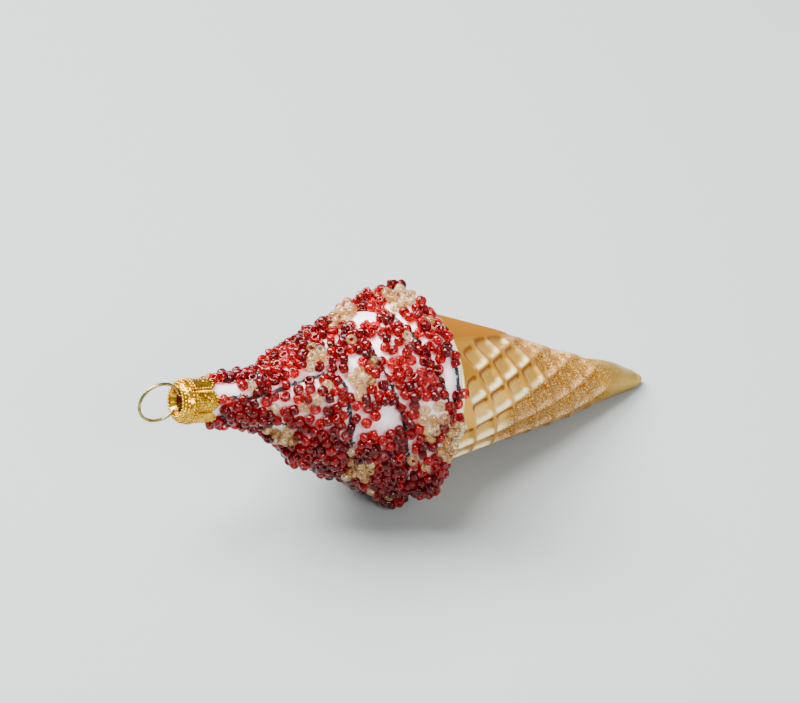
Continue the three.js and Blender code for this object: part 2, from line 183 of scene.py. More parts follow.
@dataclass(frozen=True)
class Lay:
    """How the ornament lies: on the widest part of its swirl and the tip of its cone.

    Attributes:
        nub_radius: Radius of the ball that ends the cone.
        rest_station: Station of the widest part.
        rest_radius: Distance from the axis to the floor there.
        tip_flat: How far the ball is cut off by the floor.
    """

    nub_radius: float = 1.3
    rest_station: float = 66.5
    rest_radius: float = 22.9
    tip_flat: float = 0.04

    @property
    def lean(self) -> float:
        """Angle between the axis and the floor.

        Returns:
            The angle in radians.
        """
        reach = self.rest_station - self.nub_radius
        nub_share = self.nub_radius / math.hypot(self.rest_radius, reach)
        return math.atan2(self.rest_radius, reach) - math.asin(nub_share)

    @cached_property
    def matrix(self) -> Matrix:
        """The transform from local millimetres to the frame's metres.

        Returns:
            The matrix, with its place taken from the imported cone.
        """
        side = Vector((0, -1, 0))
        upper = Vector((math.sin(self.lean), 0, math.cos(self.lean)))
        axis = Vector((-math.cos(self.lean), 0, math.sin(self.lean)))
        low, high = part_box("waffle_cone")
        ball_height = (self.nub_radius - self.tip_flat) * MM
        ball = Vector((high.x - self.nub_radius * MM, (low.y + high.y) / 2, ball_height))
        turned = Matrix((side, upper, axis)).transposed().to_4x4()
        tip = ball - axis * self.nub_radius * MM
        return Matrix.Translation(tip) @ turned @ Matrix.Scale(MM, 4)


LAY = Lay()


def rows_along(corners: Line, spacing: float) -> list[tuple[float, float]]:
    """Adds points to an outline so that no step is longer than a spacing.

    Args:
        corners: The outline's [radius, station] points.
        spacing: Longest step.

    Returns:
        The outline with the added points.
    """
    rows = [corners[0]]
    for (r0, s0), (r1, s1) in zip(corners, corners[1:]):
        count = max(1, math.ceil(math.hypot(r1 - r0, s1 - s0) / spacing))
        rows += [(r0 + (r1 - r0) * i / count, s0 + (s1 - s0) * i / count) for i in range(1, count + 1)]
    return rows


def turned(outline: Line, steps: int) -> Skin:
    """Spins an outline of [radius, station] points into a closed skin about the axis.

    Args:
        outline: Points that start and end on the axis, or on the same point.
        steps: Steps of the full turn.

    Returns:
        The skin, with its faces turned outwards.
    """
    bm = bmesh.new()
    points = [bm.verts.new((radius, 0, station)) for radius, station in outline]
    edges = [bm.edges.new(pair) for pair in zip(points, points[1:])]
    bmesh.ops.spin(bm, geom=points + edges, cent=(0, 0, 0), axis=(0, 0, 1), dvec=(0, 0, 0),
                   angle=TURN, steps=steps, use_merge=True, use_duplicate=False)
    bmesh.ops.remove_doubles(bm, verts=bm.verts, dist=1e-4)
    bmesh.ops.recalc_face_normals(bm, faces=bm.faces)
    return bm


def polar(bm: Skin) -> tuple[np.ndarray, np.ndarray, np.ndarray]:
    """Gives the radius, angle and station of each vertex."""
    co = np.array([v.co for v in bm.verts])
    return np.hypot(co[:, 0], co[:, 1]), np.arctan2(co[:, 1], co[:, 0]), co[:, 2]


def place_round(bm: Skin, place: Place) -> None:
    """Moves each vertex to a new radius and station, at the angle that it has.

    Args:
        bm: The skin.
        place: Takes radius, angle and station, and gives the new radius and station.
    """
    radius, angle, station = polar(bm)
    radius, station = place(radius, angle, station)
    for vert, r, a, s in zip(bm.verts, radius, angle, station):
        vert.co = (r * math.cos(a), r * math.sin(a), s)


def let_sag(bm: Skin, sag: Line) -> None:
    """Moves each vertex towards the lower side by its station's distance.

    Args:
        bm: The skin.
        sag: [station, distance] of the move.
    """
    for vert, distance in zip(bm.verts, smooth_value(sag, polar(bm)[2])):
        vert.co.y -= distance


def flatten_on_floor(bm: Skin) -> None:
    """Lifts the vertices that would be below the floor onto it, so that the skin has a flat there.

    Args:
        bm: The skin.
    """
    back = LAY.matrix.inverted()
    for vert in bm.verts:
        placed = LAY.matrix @ vert.co
        if placed.z < 0:
            placed.z = 0
            vert.co = back @ placed


@dataclass
class Copies:
    """Many copies of one small shape, joined in one mesh.

    Attributes:
        shape: The mesh that is repeated.
        places: The transform of each copy.
        tints: A number from 0 to 1 for each copy, kept as the vertices' tint.
    """

    shape: Skin
    places: list[Matrix] = field(default_factory=list)
    tints: list[float] = field(default_factory=list)

    def add(self, place: Matrix, tint: float) -> None:
        """Adds one copy."""
        self.places.append(place)
        self.tints.append(tint)

    def mesh(self, name: str) -> bpy.types.Mesh:
        """Joins the copies.

        Args:
            name: The mesh's name.

        Returns:
            The joined mesh.
        """
        self.shape.verts.index_update()
        own = np.array([v.co for v in self.shape.verts])
        faces = [[v.index for v in face.verts] for face in self.shape.faces]
        count = len(own)
        points = [own @ np.array(m.to_3x3()).T + np.array(m.translation) for m in self.places]
        joined = [[i + n * count for i in f] for n in range(len(points)) for f in faces]
        mesh = bpy.data.meshes.new(name)
        mesh.from_pydata(np.concatenate(points).tolist(), [], joined)
        set_attribute(mesh, "tint", np.repeat(self.tints, count))
        return mesh


def turned_to(direction: Vector) -> Matrix:
    """Gives the turn that carries +Z to a direction."""
    return Vector((0, 0, 1)).rotation_difference(direction).to_matrix().to_4x4()


def set_attribute(mesh: bpy.types.Mesh, name: str, values: np.ndarray) -> None:
    """Keeps a number for each vertex, which a finish reads."""
    layer = mesh.attributes.new(name, "FLOAT", "POINT")
    layer.data.foreach_set("value", np.asarray(values, np.float32))


def mesh_of(bm: Skin, name: str) -> bpy.types.Mesh:
    """Turns a bmesh into a mesh and frees it.

    Args:
        bm: The bmesh.
        name: The mesh's name.

    Returns:
        The mesh.
    """
    mesh = bpy.data.meshes.new(name)
    bm.to_mesh(mesh)
    bm.free()
    return mesh


def piece(name: str, mesh: bpy.types.Mesh, material: bpy.types.Material) -> bpy.types.Object:
    """Carries a mesh into the frame as a piece that rides on the ornament.

    Args:
        name: The piece's name.
        mesh: Its mesh, in local millimetres.
        material: Its finish.

    Returns:
        The piece.
    """
    mesh.transform(LAY.matrix)
    mesh.shade_smooth()
    mesh.materials.append(material)
    made = bpy.data.objects.new(name, mesh)
    bpy.context.scene.collection.objects.link(made)
    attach(made, BODY)
    log.info("%s: %d faces", name, len(mesh.polygons))
    return made


def tube(name: str, points: Sequence[Vector], radii: Sequence[float], closed: bool) -> bpy.types.Mesh:
    """Makes a round rod along a route.

    Args:
        name: The mesh's name.
        points: The route.
        radii: The rod's radius at each point.
        closed: Whether the route comes back to its start.

    Returns:
        The rod's mesh.
    """
    curve = bpy.data.curves.new(name, "CURVE")
    curve.dimensions = "3D"
    curve.bevel_depth = 1.0
    curve.bevel_resolution = 3
    curve.use_fill_caps = True
    spline = curve.splines.new("POLY")
    spline.points.add(len(points) - 1)
    for spot, point, radius in zip(spline.points, points, radii):
        spot.co = (*point, 1)
        spot.radius = radius
    spline.use_cyclic_u = closed
    holder = bpy.data.objects.new(name, curve)
    bpy.context.scene.collection.objects.link(holder)
    evaluated = holder.evaluated_get(bpy.context.evaluated_depsgraph_get())
    mesh = bpy.data.meshes.new_from_object(evaluated)
    bpy.data.objects.remove(holder)
    bpy.data.curves.remove(curve)
    return mesh


def joined(name: str, meshes: Sequence[bpy.types.Mesh]) -> bpy.types.Mesh:
    """Joins meshes into a new one.

    Args:
        name: The new mesh's name.
        meshes: The meshes.

    Returns:
        The new mesh.
    """
    bm = bmesh.new()
    for mesh in meshes:
        bm.from_mesh(mesh)
    return mesh_of(bm, name)


class Shader:
    """A material's nodes, with short calls for those that the finishes share."""

    def __init__(self, name: str) -> None:
        """Makes a material with an empty principled surface.

        Args:
            name: The material's name.
        """
        self.material = bpy.data.materials.new(name)
        self.material.use_nodes = True
        self.tree = self.material.node_tree
        self.surface = self.tree.nodes["Principled BSDF"]
        coordinates = self.tree.nodes.new("ShaderNodeTexCoord")
        self.here = coordinates.outputs["Object"]

    def set(self, **values: float | Colour) -> None:
        """Sets the surface's own sockets, named with underscores for spaces."""
        for name, value in values.items():
            self.surface.inputs[name.replace("_", " ")].default_value = value

    def link(self, source: Socket, socket: str) -> None:
        """Joins an output to one of the surface's sockets."""
        self.tree.links.new(source, self.surface.inputs[socket])

    def attribute(self, name: str) -> Socket:
        """Reads a number that the mesh keeps for each vertex.

        Args:
            name: The attribute's name.

        Returns:
            The number.
        """
        node = self.tree.nodes.new("ShaderNodeAttribute")
        node.attribute_name = name
        return node.outputs["Fac"]

    def noise(self, size: float) -> Socket:
        """Gives smooth random shades whose patches have a size in metres.

        Args:
            size: Size of a patch.

        Returns:
            The shades, mostly within CLOUDS.
        """
        node = self.tree.nodes.new("ShaderNodeTexNoise")
        node.inputs["Scale"].default_value = 1 / size
        self.tree.links.new(self.here, node.inputs["Vector"])
        return node.outputs["Fac"]

    def grains(self, size: float) -> tuple[Socket, Socket]:
        """Splits the surface into grains of a size in metres.

        Args:
            size: Distance between grains.

        Returns:
            The distance from each grain's middle, and a random number for each grain.
        """
        node = self.tree.nodes.new("ShaderNodeTexVoronoi")
        node.inputs["Scale"].default_value = 1 / size
        self.tree.links.new(self.here, node.inputs["Vector"])
        split = self.tree.nodes.new("ShaderNodeSeparateColor")
        self.tree.links.new(node.outputs["Color"], split.inputs["Color"])
        return node.outputs["Distance"], split.outputs["Red"]

    def ramp(self, source: Socket, stops: Sequence[tuple[float, Colour]]) -> Socket:
        """Turns a number into a colour.

        Args:
            source: The number.
            stops: Places from 0 to 1 with their colours.

        Returns:
            The colour.
        """
        node = self.tree.nodes.new("ShaderNodeValToRGB")
        band = node.color_ramp.elements
        while len(band) < len(stops):
            band.new(0.5)
        for element, (position, colour) in zip(band, stops):
            element.position = position
            element.color = colour
        self.tree.links.new(source, node.inputs["Fac"])
        return node.outputs["Color"]

    def scaled(self, source: Socket, low: Range, high: Range) -> Socket:
        """Maps a number's range onto another.

        Args:
            source: The number.
            low: A value of it and what that becomes.
            high: A larger value of it and what that becomes.

        Returns:
            The mapped number, kept between the two results.
        """
        node = self.tree.nodes.new("ShaderNodeMapRange")
        for name, value in (("From Min", low[0]), ("To Min", low[1]),
                            ("From Max", high[0]), ("To Max", high[1])):
            node.inputs[name].default_value = value
        self.tree.links.new(source, node.inputs["Value"])
        return node.outputs["Result"]

    def clouded(self, clouds: Socket, results: Range) -> Socket:
        """Maps a noise's usual range onto another."""
        low, high = CLOUDS
        return self.scaled(clouds, (low, results[0]), (high, results[1]))

    def times(self, a: Socket, b: Socket) -> Socket:
        """Multiplies two numbers.

        Args:
            a: A number.
            b: A number.

        Returns:
            Their product.
        """
        node = self.tree.nodes.new("ShaderNodeMath")
        node.operation = "MULTIPLY"
        self.tree.links.new(a, node.inputs[0])
        self.tree.links.new(b, node.inputs[1])
        return node.outputs["Value"]

    def mix(self, share: Socket, first: Socket | Colour, second: Socket | Colour) -> Socket:
        """Blends two colours.

        Args:
            share: Share of the second.
            first: A colour or an output with one.
            second: A colour or an output with one.

        Returns:
            The blended colour.
        """
        node = self.tree.nodes.new("ShaderNodeMix")
        node.data_type = "RGBA"
        self.tree.links.new(share, node.inputs["Factor"])
        for socket, value in ((node.inputs[6], first), (node.inputs[7], second)):
            if isinstance(value, Socket):
                self.tree.links.new(value, socket)
            else:
                socket.default_value = value
        return node.outputs[2]

    def bump(self, height: Socket, depth: float) -> None:
        """Roughens the surface by a height.

        Args:
            height: The height, from 0 to 1.
            depth: What a height of 1 stands for, in metres.
        """
        node = self.tree.nodes.new("ShaderNodeBump")
        node.inputs["Distance"].default_value = depth
        self.tree.links.new(height, node.inputs["Height"])
        self.link(node.outputs["Normal"], "Normal")


@dataclass(frozen=True)
class WhiteLacquer:
    """Satin white lacquer, with a pink tint painted for the light that comes through the red beads
    beside it.

    Attributes:
        white: The plain lacquer.
        bead_light: Its painted colour beside red beads, standing for the red light that comes through
            them.
        mouth_shade: Painted shade on the end of the neck, inside the cap, where its open mouth is in
            shadow.
        waviness: Size of its uneven patches, in metres.
        tint_shares: Least and full share of the painted bead light over the patches.
        roughness: Its roughness over the patches.
        dents: Depth of its small dents, in metres.
    """

    white: Colour = paint(250, 248, 249)
    bead_light: Colour = paint(244, 200, 203)
    mouth_shade: Colour = paint(34, 22, 14)
    waviness: float = 0.004
    tint_shares: Range = (0.55, 1.0)
    roughness: Range = (0.28, 0.42)
    dents: float = 0.00006

    def material(self) -> bpy.types.Material:
        """Builds the finish.

        Returns:
            The material.
        """
        shader = Shader("white_lacquer")
        clouds = shader.noise(self.waviness)
        # Painted light: a pink tint where light through the red beads would fall on the lacquer.
        share = shader.times(shader.attribute("glow"), shader.clouded(clouds, self.tint_shares))
        lacquer = shader.mix(share, self.white, self.bead_light)
        # Painted shade: the end of the neck is painted dark where its open mouth would be in shadow.
        shader.link(shader.mix(shader.attribute("mouth_shade"), lacquer, self.mouth_shade), "Base Color")
        shader.link(shader.clouded(clouds, self.roughness), "Roughness")
        shader.set(Coat_Weight=0.25, Coat_Roughness=0.15)
        shader.bump(shader.noise(self.waviness / 4), self.dents)
        return shader.material


class BeadColour(Enum):
    """The two kinds of seed bead: piece name, slot, and its colours from pale to deep."""

    RED = ("red_beads", "red_bead_glass",
           (paint(206, 8, 22), paint(172, 3, 12), paint(116, 0, 6)))
    PALE = ("pale_beads", "pale_bead_glass",
            (paint(252, 236, 200), paint(240, 206, 150), paint(214, 164, 100)))


@dataclass(frozen=True)
class BeadGlass:
    """Clear coloured glass of the seed beads.

    Attributes:
        colour: Which beads it is for.
        transmission: Share of the light that goes through.
        roughness: Roughness of its polish.
        bending: How strongly it bends light.
    """

    colour: BeadColour
    transmission: float = 0.84
    roughness: float = 0.02
    bending: float = 1.36

    def material(self) -> bpy.types.Material:
        """Builds the finish.

        Returns:
            The material.
        """
        name, _, (pale, middle, deep) = self.colour.value
        shader = Shader(name + "_glass")
        tint = shader.attribute("tint")
        shader.link(shader.ramp(tint, [(0.0, pale), (0.5, middle), (1.0, deep)]), "Base Color")
        shader.set(Transmission_Weight=self.transmission, Roughness=self.roughness, IOR=self.bending)
        return shader.material


@dataclass(frozen=True)
class BlackGlitter:
    """Coarse black glitter stuck in glue, with a few bright flakes.

    Attributes:
        grain: Distance between flakes, in metres.
        height: How far they stand up, in metres.
        flakes: Their colours, each with its place from 0 to 1.
        roughness: Roughness of the dullest and of the brightest flakes.
    """

    grain: float = 0.00035
    height: float = 0.0001
    flakes: Stops = (
        (0.0, paint(12, 13, 16)), (0.88, paint(26, 28, 33)), (0.95, paint(150, 155, 160)),
    )
    roughness: Range = (0.6, 0.25)

    def material(self) -> bpy.types.Material:
        """Builds the finish.

        Returns:
            The material.
        """
        shader = Shader("black_glitter")
        distance, shade = shader.grains(self.grain)
        dull, bright = self.roughness
        shader.link(shader.ramp(shade, self.flakes), "Base Color")
        shader.link(shader.scaled(shade, (0.0, dull), (1.0, bright)), "Roughness")
        shader.bump(distance, self.height)
        return shader.material


@dataclass(frozen=True)
class WaferLacquer:
    """Pearly amber lacquer over silvery glass, with glitter towards the tip of the cone and painted
    highlight and shade on the pockets' walls.

    Attributes:
        ridge: Colour of the ridges.
        floor: Colour of a pocket's floor.
        painted_shade_wall: Painted shade on the walls that face down, away from the light.
        painted_highlight_wall: Painted highlight on the walls that face up, towards the light.
        flap: Colour of the smooth flap.
        tip: Colour of the tip.
        flakes: The glitter's colours, each with its place from 0 to 1.
        glitter_grain: Distance between flakes, in metres.
        glitter_height: How far they stand up, in metres.
        glitter_share: Share of the surface that they cover where they are thickest.
        roughness: Roughness of the bare and of the glittered lacquer.
        specular: Reflection of the pearly and of the matt lacquer.
        coat: Clear coat of the pearly and of the matt lacquer.
    """

    ridge: Colour = paint(208, 144, 28)
    floor: Colour = paint(222, 170, 66)
    painted_shade_wall: Colour = paint(126, 72, 6)
    painted_highlight_wall: Colour = paint(255, 238, 184)
    flap: Colour = paint(124, 78, 20)
    tip: Colour = paint(172, 138, 32)
    flakes: Stops = (
        (0.0, paint(76, 32, 0)), (0.3, paint(136, 78, 0)), (0.55, paint(174, 114, 6)),
        (0.8, paint(204, 126, 30)), (0.93, paint(254, 220, 124)),
    )
    glitter_grain: float = 0.0002
    glitter_height: float = 0.00018
    glitter_share: float = 0.86
    roughness: Range = (0.3, 0.45)
    specular: Range = (0.5, 0.0)
    coat: Range = (0.2, 0.0)

    def material(self) -> bpy.types.Material:
        """Builds the finish.

        Returns:
            The material.
        """
        shader = Shader("wafer_lacquer")
        glitter, matt = shader.attribute("glitter"), shader.attribute("matt")
        # The pockets' walls get painted shade and painted highlight over the lacquer's own colours.
        colour: Socket | Colour = self.ridge
        for part in ("floor", "painted_shade_wall", "painted_highlight_wall", "flap", "tip"):
            colour = shader.mix(shader.attribute(part), colour, getattr(self, part))
        distance, shade = shader.grains(self.glitter_grain)
        strewn = shader.scaled(glitter, (0.0, 0.0), (1.0, self.glitter_share))
        shader.link(shader.mix(strewn, colour, shader.ramp(shade, self.flakes)), "Base Color")
        shader.link(shader.attribute("metal"), "Metallic")
        for share, (first, last), socket in ((glitter, self.roughness, "Roughness"),
                                             (matt, self.specular, "Specular IOR Level"),
                                             (matt, self.coat, "Coat Weight")):
            shader.link(shader.scaled(share, (0.0, first), (1.0, last)), socket)
        shader.set(Coat_Roughness=0.12)
        shader.bump(shader.times(distance, glitter), self.glitter_height)
        return shader.material


@dataclass(frozen=True)
class Metal:
    """Bright metal with a faint unevenness.

    Attributes:
        name: The material's name.
        bright: Its colour where it is clean.
        dull: Its colour in the dull patches.
        roughness: Least roughness.
        dulling: How much rougher the dull patches are.
        unevenness: Size of the patches, in metres.
        dents: Depth of its small dents, in metres.
    """

    name: str
    bright: Colour
    dull: Colour
    roughness: float
    dulling: float = 0.12
    unevenness: float = 0.0012
    dents: float = 0.00003

    def material(self) -> bpy.types.Material:
        """Builds the finish.

        Returns:
            The material.
        """
        shader = Shader(self.name)
        cloud = shader.noise(self.unevenness)
        shader.link(shader.ramp(cloud, [(0.35, self.bright), (0.75, self.dull)]), "Base Color")
        rough = (self.roughness, self.roughness + self.dulling)
        shader.link(shader.clouded(cloud, rough), "Roughness")
        shader.set(Metallic=1.0)
        shader.bump(cloud, self.dents)
        return shader.material


@dataclass(frozen=True)
class FloorPaint:
    """Plain pale studio floor."""

    colour: Colour = paint(154, 159, 158)

    def material(self) -> bpy.types.Material:
        """Builds the finish.

        Returns:
            The material.
        """
        shader = Shader("studio_floor")
        shader.set(Base_Color=self.colour, Roughness=0.8, Specular_IOR_Level=0.2)
        return shader.material


GOLD_SHEET = Metal("gold_sheet", paint(224, 172, 44), paint(146, 100, 8), 0.15)
BRASS_WIRE = Metal("brass_wire_metal", paint(168, 152, 98), paint(96, 84, 44), 0.22)


@dataclass
class Grooves:
    """The grooves that wind down between the ridges of the swirl.

    Attributes:
        routes: For each groove, its [angle in degrees, station] points from neck to rim.
        steps: Steps that a route is read in.
    """

    routes: tuple[Curve, ...] = (
        ((41, 108), (37, 104), (45, 100), (56, 96), (61, 91.5), (58, 88), (45, 86.2), (18, 85.5),
         (-14, 83.6), (-95, 77), (-150, 69), (-168, 64.8)),
        ((112, 108), (115, 101), (122, 95), (127, 88), (124, 82), (108, 79.9), (74, 79.7),
         (44, 78.2), (12, 75.2), (-12, 72.8), (-38, 68.9), (-52, 64.8)),
        ((186, 108), (189, 99), (182, 92), (165, 85), (145, 79), (127, 74.6), (110, 72.9),
         (84, 72.1), (58, 70.1), (37, 67.8), (22, 64.8)),
        ((-34, 109), (-50, 106.5), (-40, 101), (-20, 96), (-14, 93), (-22, 89.8), (-75, 86),
         (-110, 83), (-145, 78.5), (-180, 73.5), (-215, 68.3), (-232, 64.8)),
        ((-103, 108), (-102, 101), (-95, 95.5), (-107, 91), (-130, 89.5), (-160, 86.5),
         (-190, 82.6), (-214, 79.4)),
    )
    steps: int = 64

    def route_steps(self, route: Line, steps: int) -> np.ndarray:
        """Reads a route in equal steps.

        Args:
            route: The route's points.
            steps: Number of steps.

        Returns:
            One row for each place, with its angle in radians and its station.
        """
        t = np.arange(steps + 1) / steps * (len(route) - 1)
        angles = smooth_value([(i, p[0]) for i, p in enumerate(route)], t)
        stations = smooth_value([(i, p[1]) for i, p in enumerate(route)], t)
        return np.stack([np.radians(angles), stations], 1)

    def places(self) -> np.ndarray:
        """Gives the places of all the routes, one row each."""
        return np.concatenate([self.route_steps(route, self.steps) for route in self.routes])


@dataclass
class SwirlGlass:
    """The white blown-glass swirl, from the rim of the cone to the end of its neck.

    Attributes:
        outline: [station, radius] of the plain glass.
        sag: [station, distance] by which the glass sags towards its lower side.
        rim_line: [angle in degrees, station] of the line round the rim.
        grooves: The grooves that wind down it.
        segments: Steps round.
        first_row: Distance of the first row from the rim.
        row_spacing: Distance between rows.
        groove_depth: Depth of a groove on the body.
        groove_width: Half width of a groove.
        neck_groove_share: Share of that depth on the neck.
        neck_radius: Radius at which the grooves are that shallow.
        body_radius: Radius from which they have their full depth.
        rim_groove_station: Station of the groove round the rim.
        rim_groove_depth: Its depth.
        fullest_station: Station where the most darts are kept.
        grooved_stations: First and last station of the grooved stretch.
        glow_reach: How far the painted red light of a bead reaches over the glass.
        glow_beads: How many of the nearest red beads add painted red light to a place.
        mouth_shade_radius: Radius of the painted shade at the neck's end.
        groove_places: Angle and station of each step along the grooves.
    """

    outline: Curve = (
        (61.2, 17.3), (62.4, 18.7), (64.2, 20.1), (66.5, 21.0), (70, 20.1), (76, 17.4), (82, 15.0),
        (88, 12.2), (91.5, 10.2), (95, 7.7), (99, 5.7), (103, 4.7), (108, 3.9), (111, 3.6),
        (114.5, 3.4),
    )
    sag: Curve = (
        (61.2, 0), (64, 0.6), (70, 0.4), (78, 0.5), (82, 1.1), (86, 1.3), (91, 0.8), (97, 0.3),
        (106, 0.1), (110, 0), (114.5, 0),
    )
    rim_line: Curve = (
        (-180, 65), (-120, 65.2), (-60, 65), (-3, 64.8), (25, 64.0), (45, 63.8), (62, 64.1),
        (77, 65.4), (95, 66), (120, 65.5), (180, 65),
    )
    grooves: Grooves = field(default_factory=Grooves)
    segments: int = 200
    first_row: float = 0.35
    row_spacing: float = 0.45
    groove_depth: float = 1.25
    groove_width: float = 1.9
    neck_groove_share: float = 0.25
    neck_radius: float = 3.0
    body_radius: float = 12.0
    rim_groove_station: float = 64.6
    rim_groove_depth: float = 0.35
    fullest_station: float = 65.6
    grooved_stations: Range = (62.2, 110.4)
    glow_reach: float = 1.9
    glow_beads: int = 4
    mouth_shade_radius: float = 3.2
    groove_places: np.ndarray = field(init=False)

    def __post_init__(self) -> None:
        """Reads the grooves' routes once."""
        self.groove_places = self.grooves.places()

    def radius(self, station: Numbers) -> np.ndarray:
        """Gives the plain glass's radius at a station."""
        return smooth_value(self.outline, station)

    def groove_distance(self, angle: Numbers, station: Numbers) -> np.ndarray:
        """Gives the distance along the glass from a place to the nearest groove.

        Args:
            angle: Angles of the places.
            station: Stations of the places.

        Returns:
            The distances.
        """
        angle = np.atleast_1d(angle)[:, None]
        station = np.atleast_1d(station)[:, None]
        across = turn_between(angle, self.groove_places[None, :, 0]) * self.radius(station)
        along = station - self.groove_places[None, :, 1]
        return np.sqrt((across**2 + along**2).min(1))

    def sink(self, angle: Numbers, station: Numbers) -> np.ndarray:
        """Gives how far the glass lies inside its plain outline.

        Args:
            angle: Angles of the places.
            station: Stations of the places.

        Returns:
            The depths, zero under the cap and at the rim.
        """
        angle, station = np.atleast_1d(angle), np.atleast_1d(station)
        valley = np.exp(-((self.groove_distance(angle, station) / self.groove_width) ** 2))
        rim = np.exp(-((station - self.rim_groove_station) ** 2))
        body = smoothstep(self.radius(station), self.neck_radius, self.body_radius)
        share = self.neck_groove_share + (1 - self.neck_groove_share) * body
        depth = self.groove_depth * valley * share + self.rim_groove_depth * rim
        first, last = self.grooved_stations
        return np.where((station < first) | (station > last), 0, depth)

    def normal(self, angle: float, station: float) -> Vector:
        """Gives the direction straight out of the plain glass at a place.

        Args:
            angle: Angle of the place.
            station: Station of the place.

        Returns:
            The direction, of length 1.
        """
        step = 0.5
        slope = float(self.radius(station + step) - self.radius(station - step)) / (2 * step)
        return Vector((math.cos(angle), math.sin(angle), -slope)).normalized()

    def point(self, angle: float, station: float, height: float) -> Vector:
        """Gives the point at a height above the plain glass at a place.

        Args:
            angle: Angle of the place.
            station: Station of the place.
            height: The height.

        Returns:
            The point.
        """
        radius, sag = float(self.radius(station)), float(smooth_value(self.sag, station))
        foot = Vector((radius * math.cos(angle), radius * math.sin(angle) - sag, station))
        return foot + self.normal(angle, station) * height if height else foot

    def glow(self, bm: Skin, red_beads: Sequence[Vector]) -> np.ndarray:
        """Gives how strongly each vertex is painted with the red light that comes through the beads.

        Args:
            bm: The skin.
            red_beads: Middles of the red beads.

        Returns:
            Shares from 0 to 1.
        """
        tree = KDTree(len(red_beads))
        for i, centre in enumerate(red_beads):
            tree.insert(centre, i)
        tree.balance()
        glow = []
        for vert in bm.verts:
            near = tree.find_n(vert.co, self.glow_beads)
            glow.append(sum(math.exp(-((gap / self.glow_reach) ** 2)) for _, _, gap in near))
        return np.clip(glow, 0, 1)

    def build(self, red_beads: Sequence[Vector]) -> bpy.types.Object:
        """Makes the glass.

        Args:
            red_beads: Middles of the red beads, whose light is painted as a pink tint on the glass
                beside them.

        Returns:
            The piece.
        """
        rim_station, rim_radius = self.outline[0]
        last = self.outline[-1][0]
        rows = rows_along([(0, rim_station), (rim_radius, rim_station)], END_STEP)
        for station in np.arange(rim_station + self.first_row, last, self.row_spacing):
            rows.append((float(self.radius(station)), float(station)))
        rows += [(float(self.radius(last)), last), (0, last)]
        bm = turned(rows, self.segments)

        def sunk(radius: np.ndarray, angle: np.ndarray, station: np.ndarray) -> Moved:
            """Presses the grooves into the skin."""
            return radius - self.sink(angle, station), station

        place_round(bm, sunk)
        let_sag(bm, self.sag)
        radius, _, station = polar(bm)
        # Painted red light from the beads, kept for the lacquer's colour.
        glow = self.glow(bm, red_beads)
        mesh = mesh_of(bm, "swirl_glass")
        set_attribute(mesh, "glow", glow)
        # Painted shade on the end disc inside the cap, for the dark open mouth of the neck.
        set_attribute(mesh, "mouth_shade", (radius < self.mouth_shade_radius) & (station > last - 0.01))
        return piece("swirl_glass", mesh, WhiteLacquer().material())


@dataclass(frozen=True)
class Dart:
    """One place on the glass where a bead may go.

    Attributes:
        foot: The point on the plain glass.
        normal: The way straight out of it.
        sink: How far the grooved glass lies below it.
        line_distance: Distance to the nearest groove.
        rim_gap: How far it is up from the line round the rim.
    """

    foot: Vector
    normal: Vector
    sink: float
    line_distance: float
    rim_gap: float


@dataclass
class Bead:
    """One seed bead: its middle, the way its hole points, its colour and its shade."""

    centre: Vector
    axis: Vector
    colour: BeadColour
    tint: float


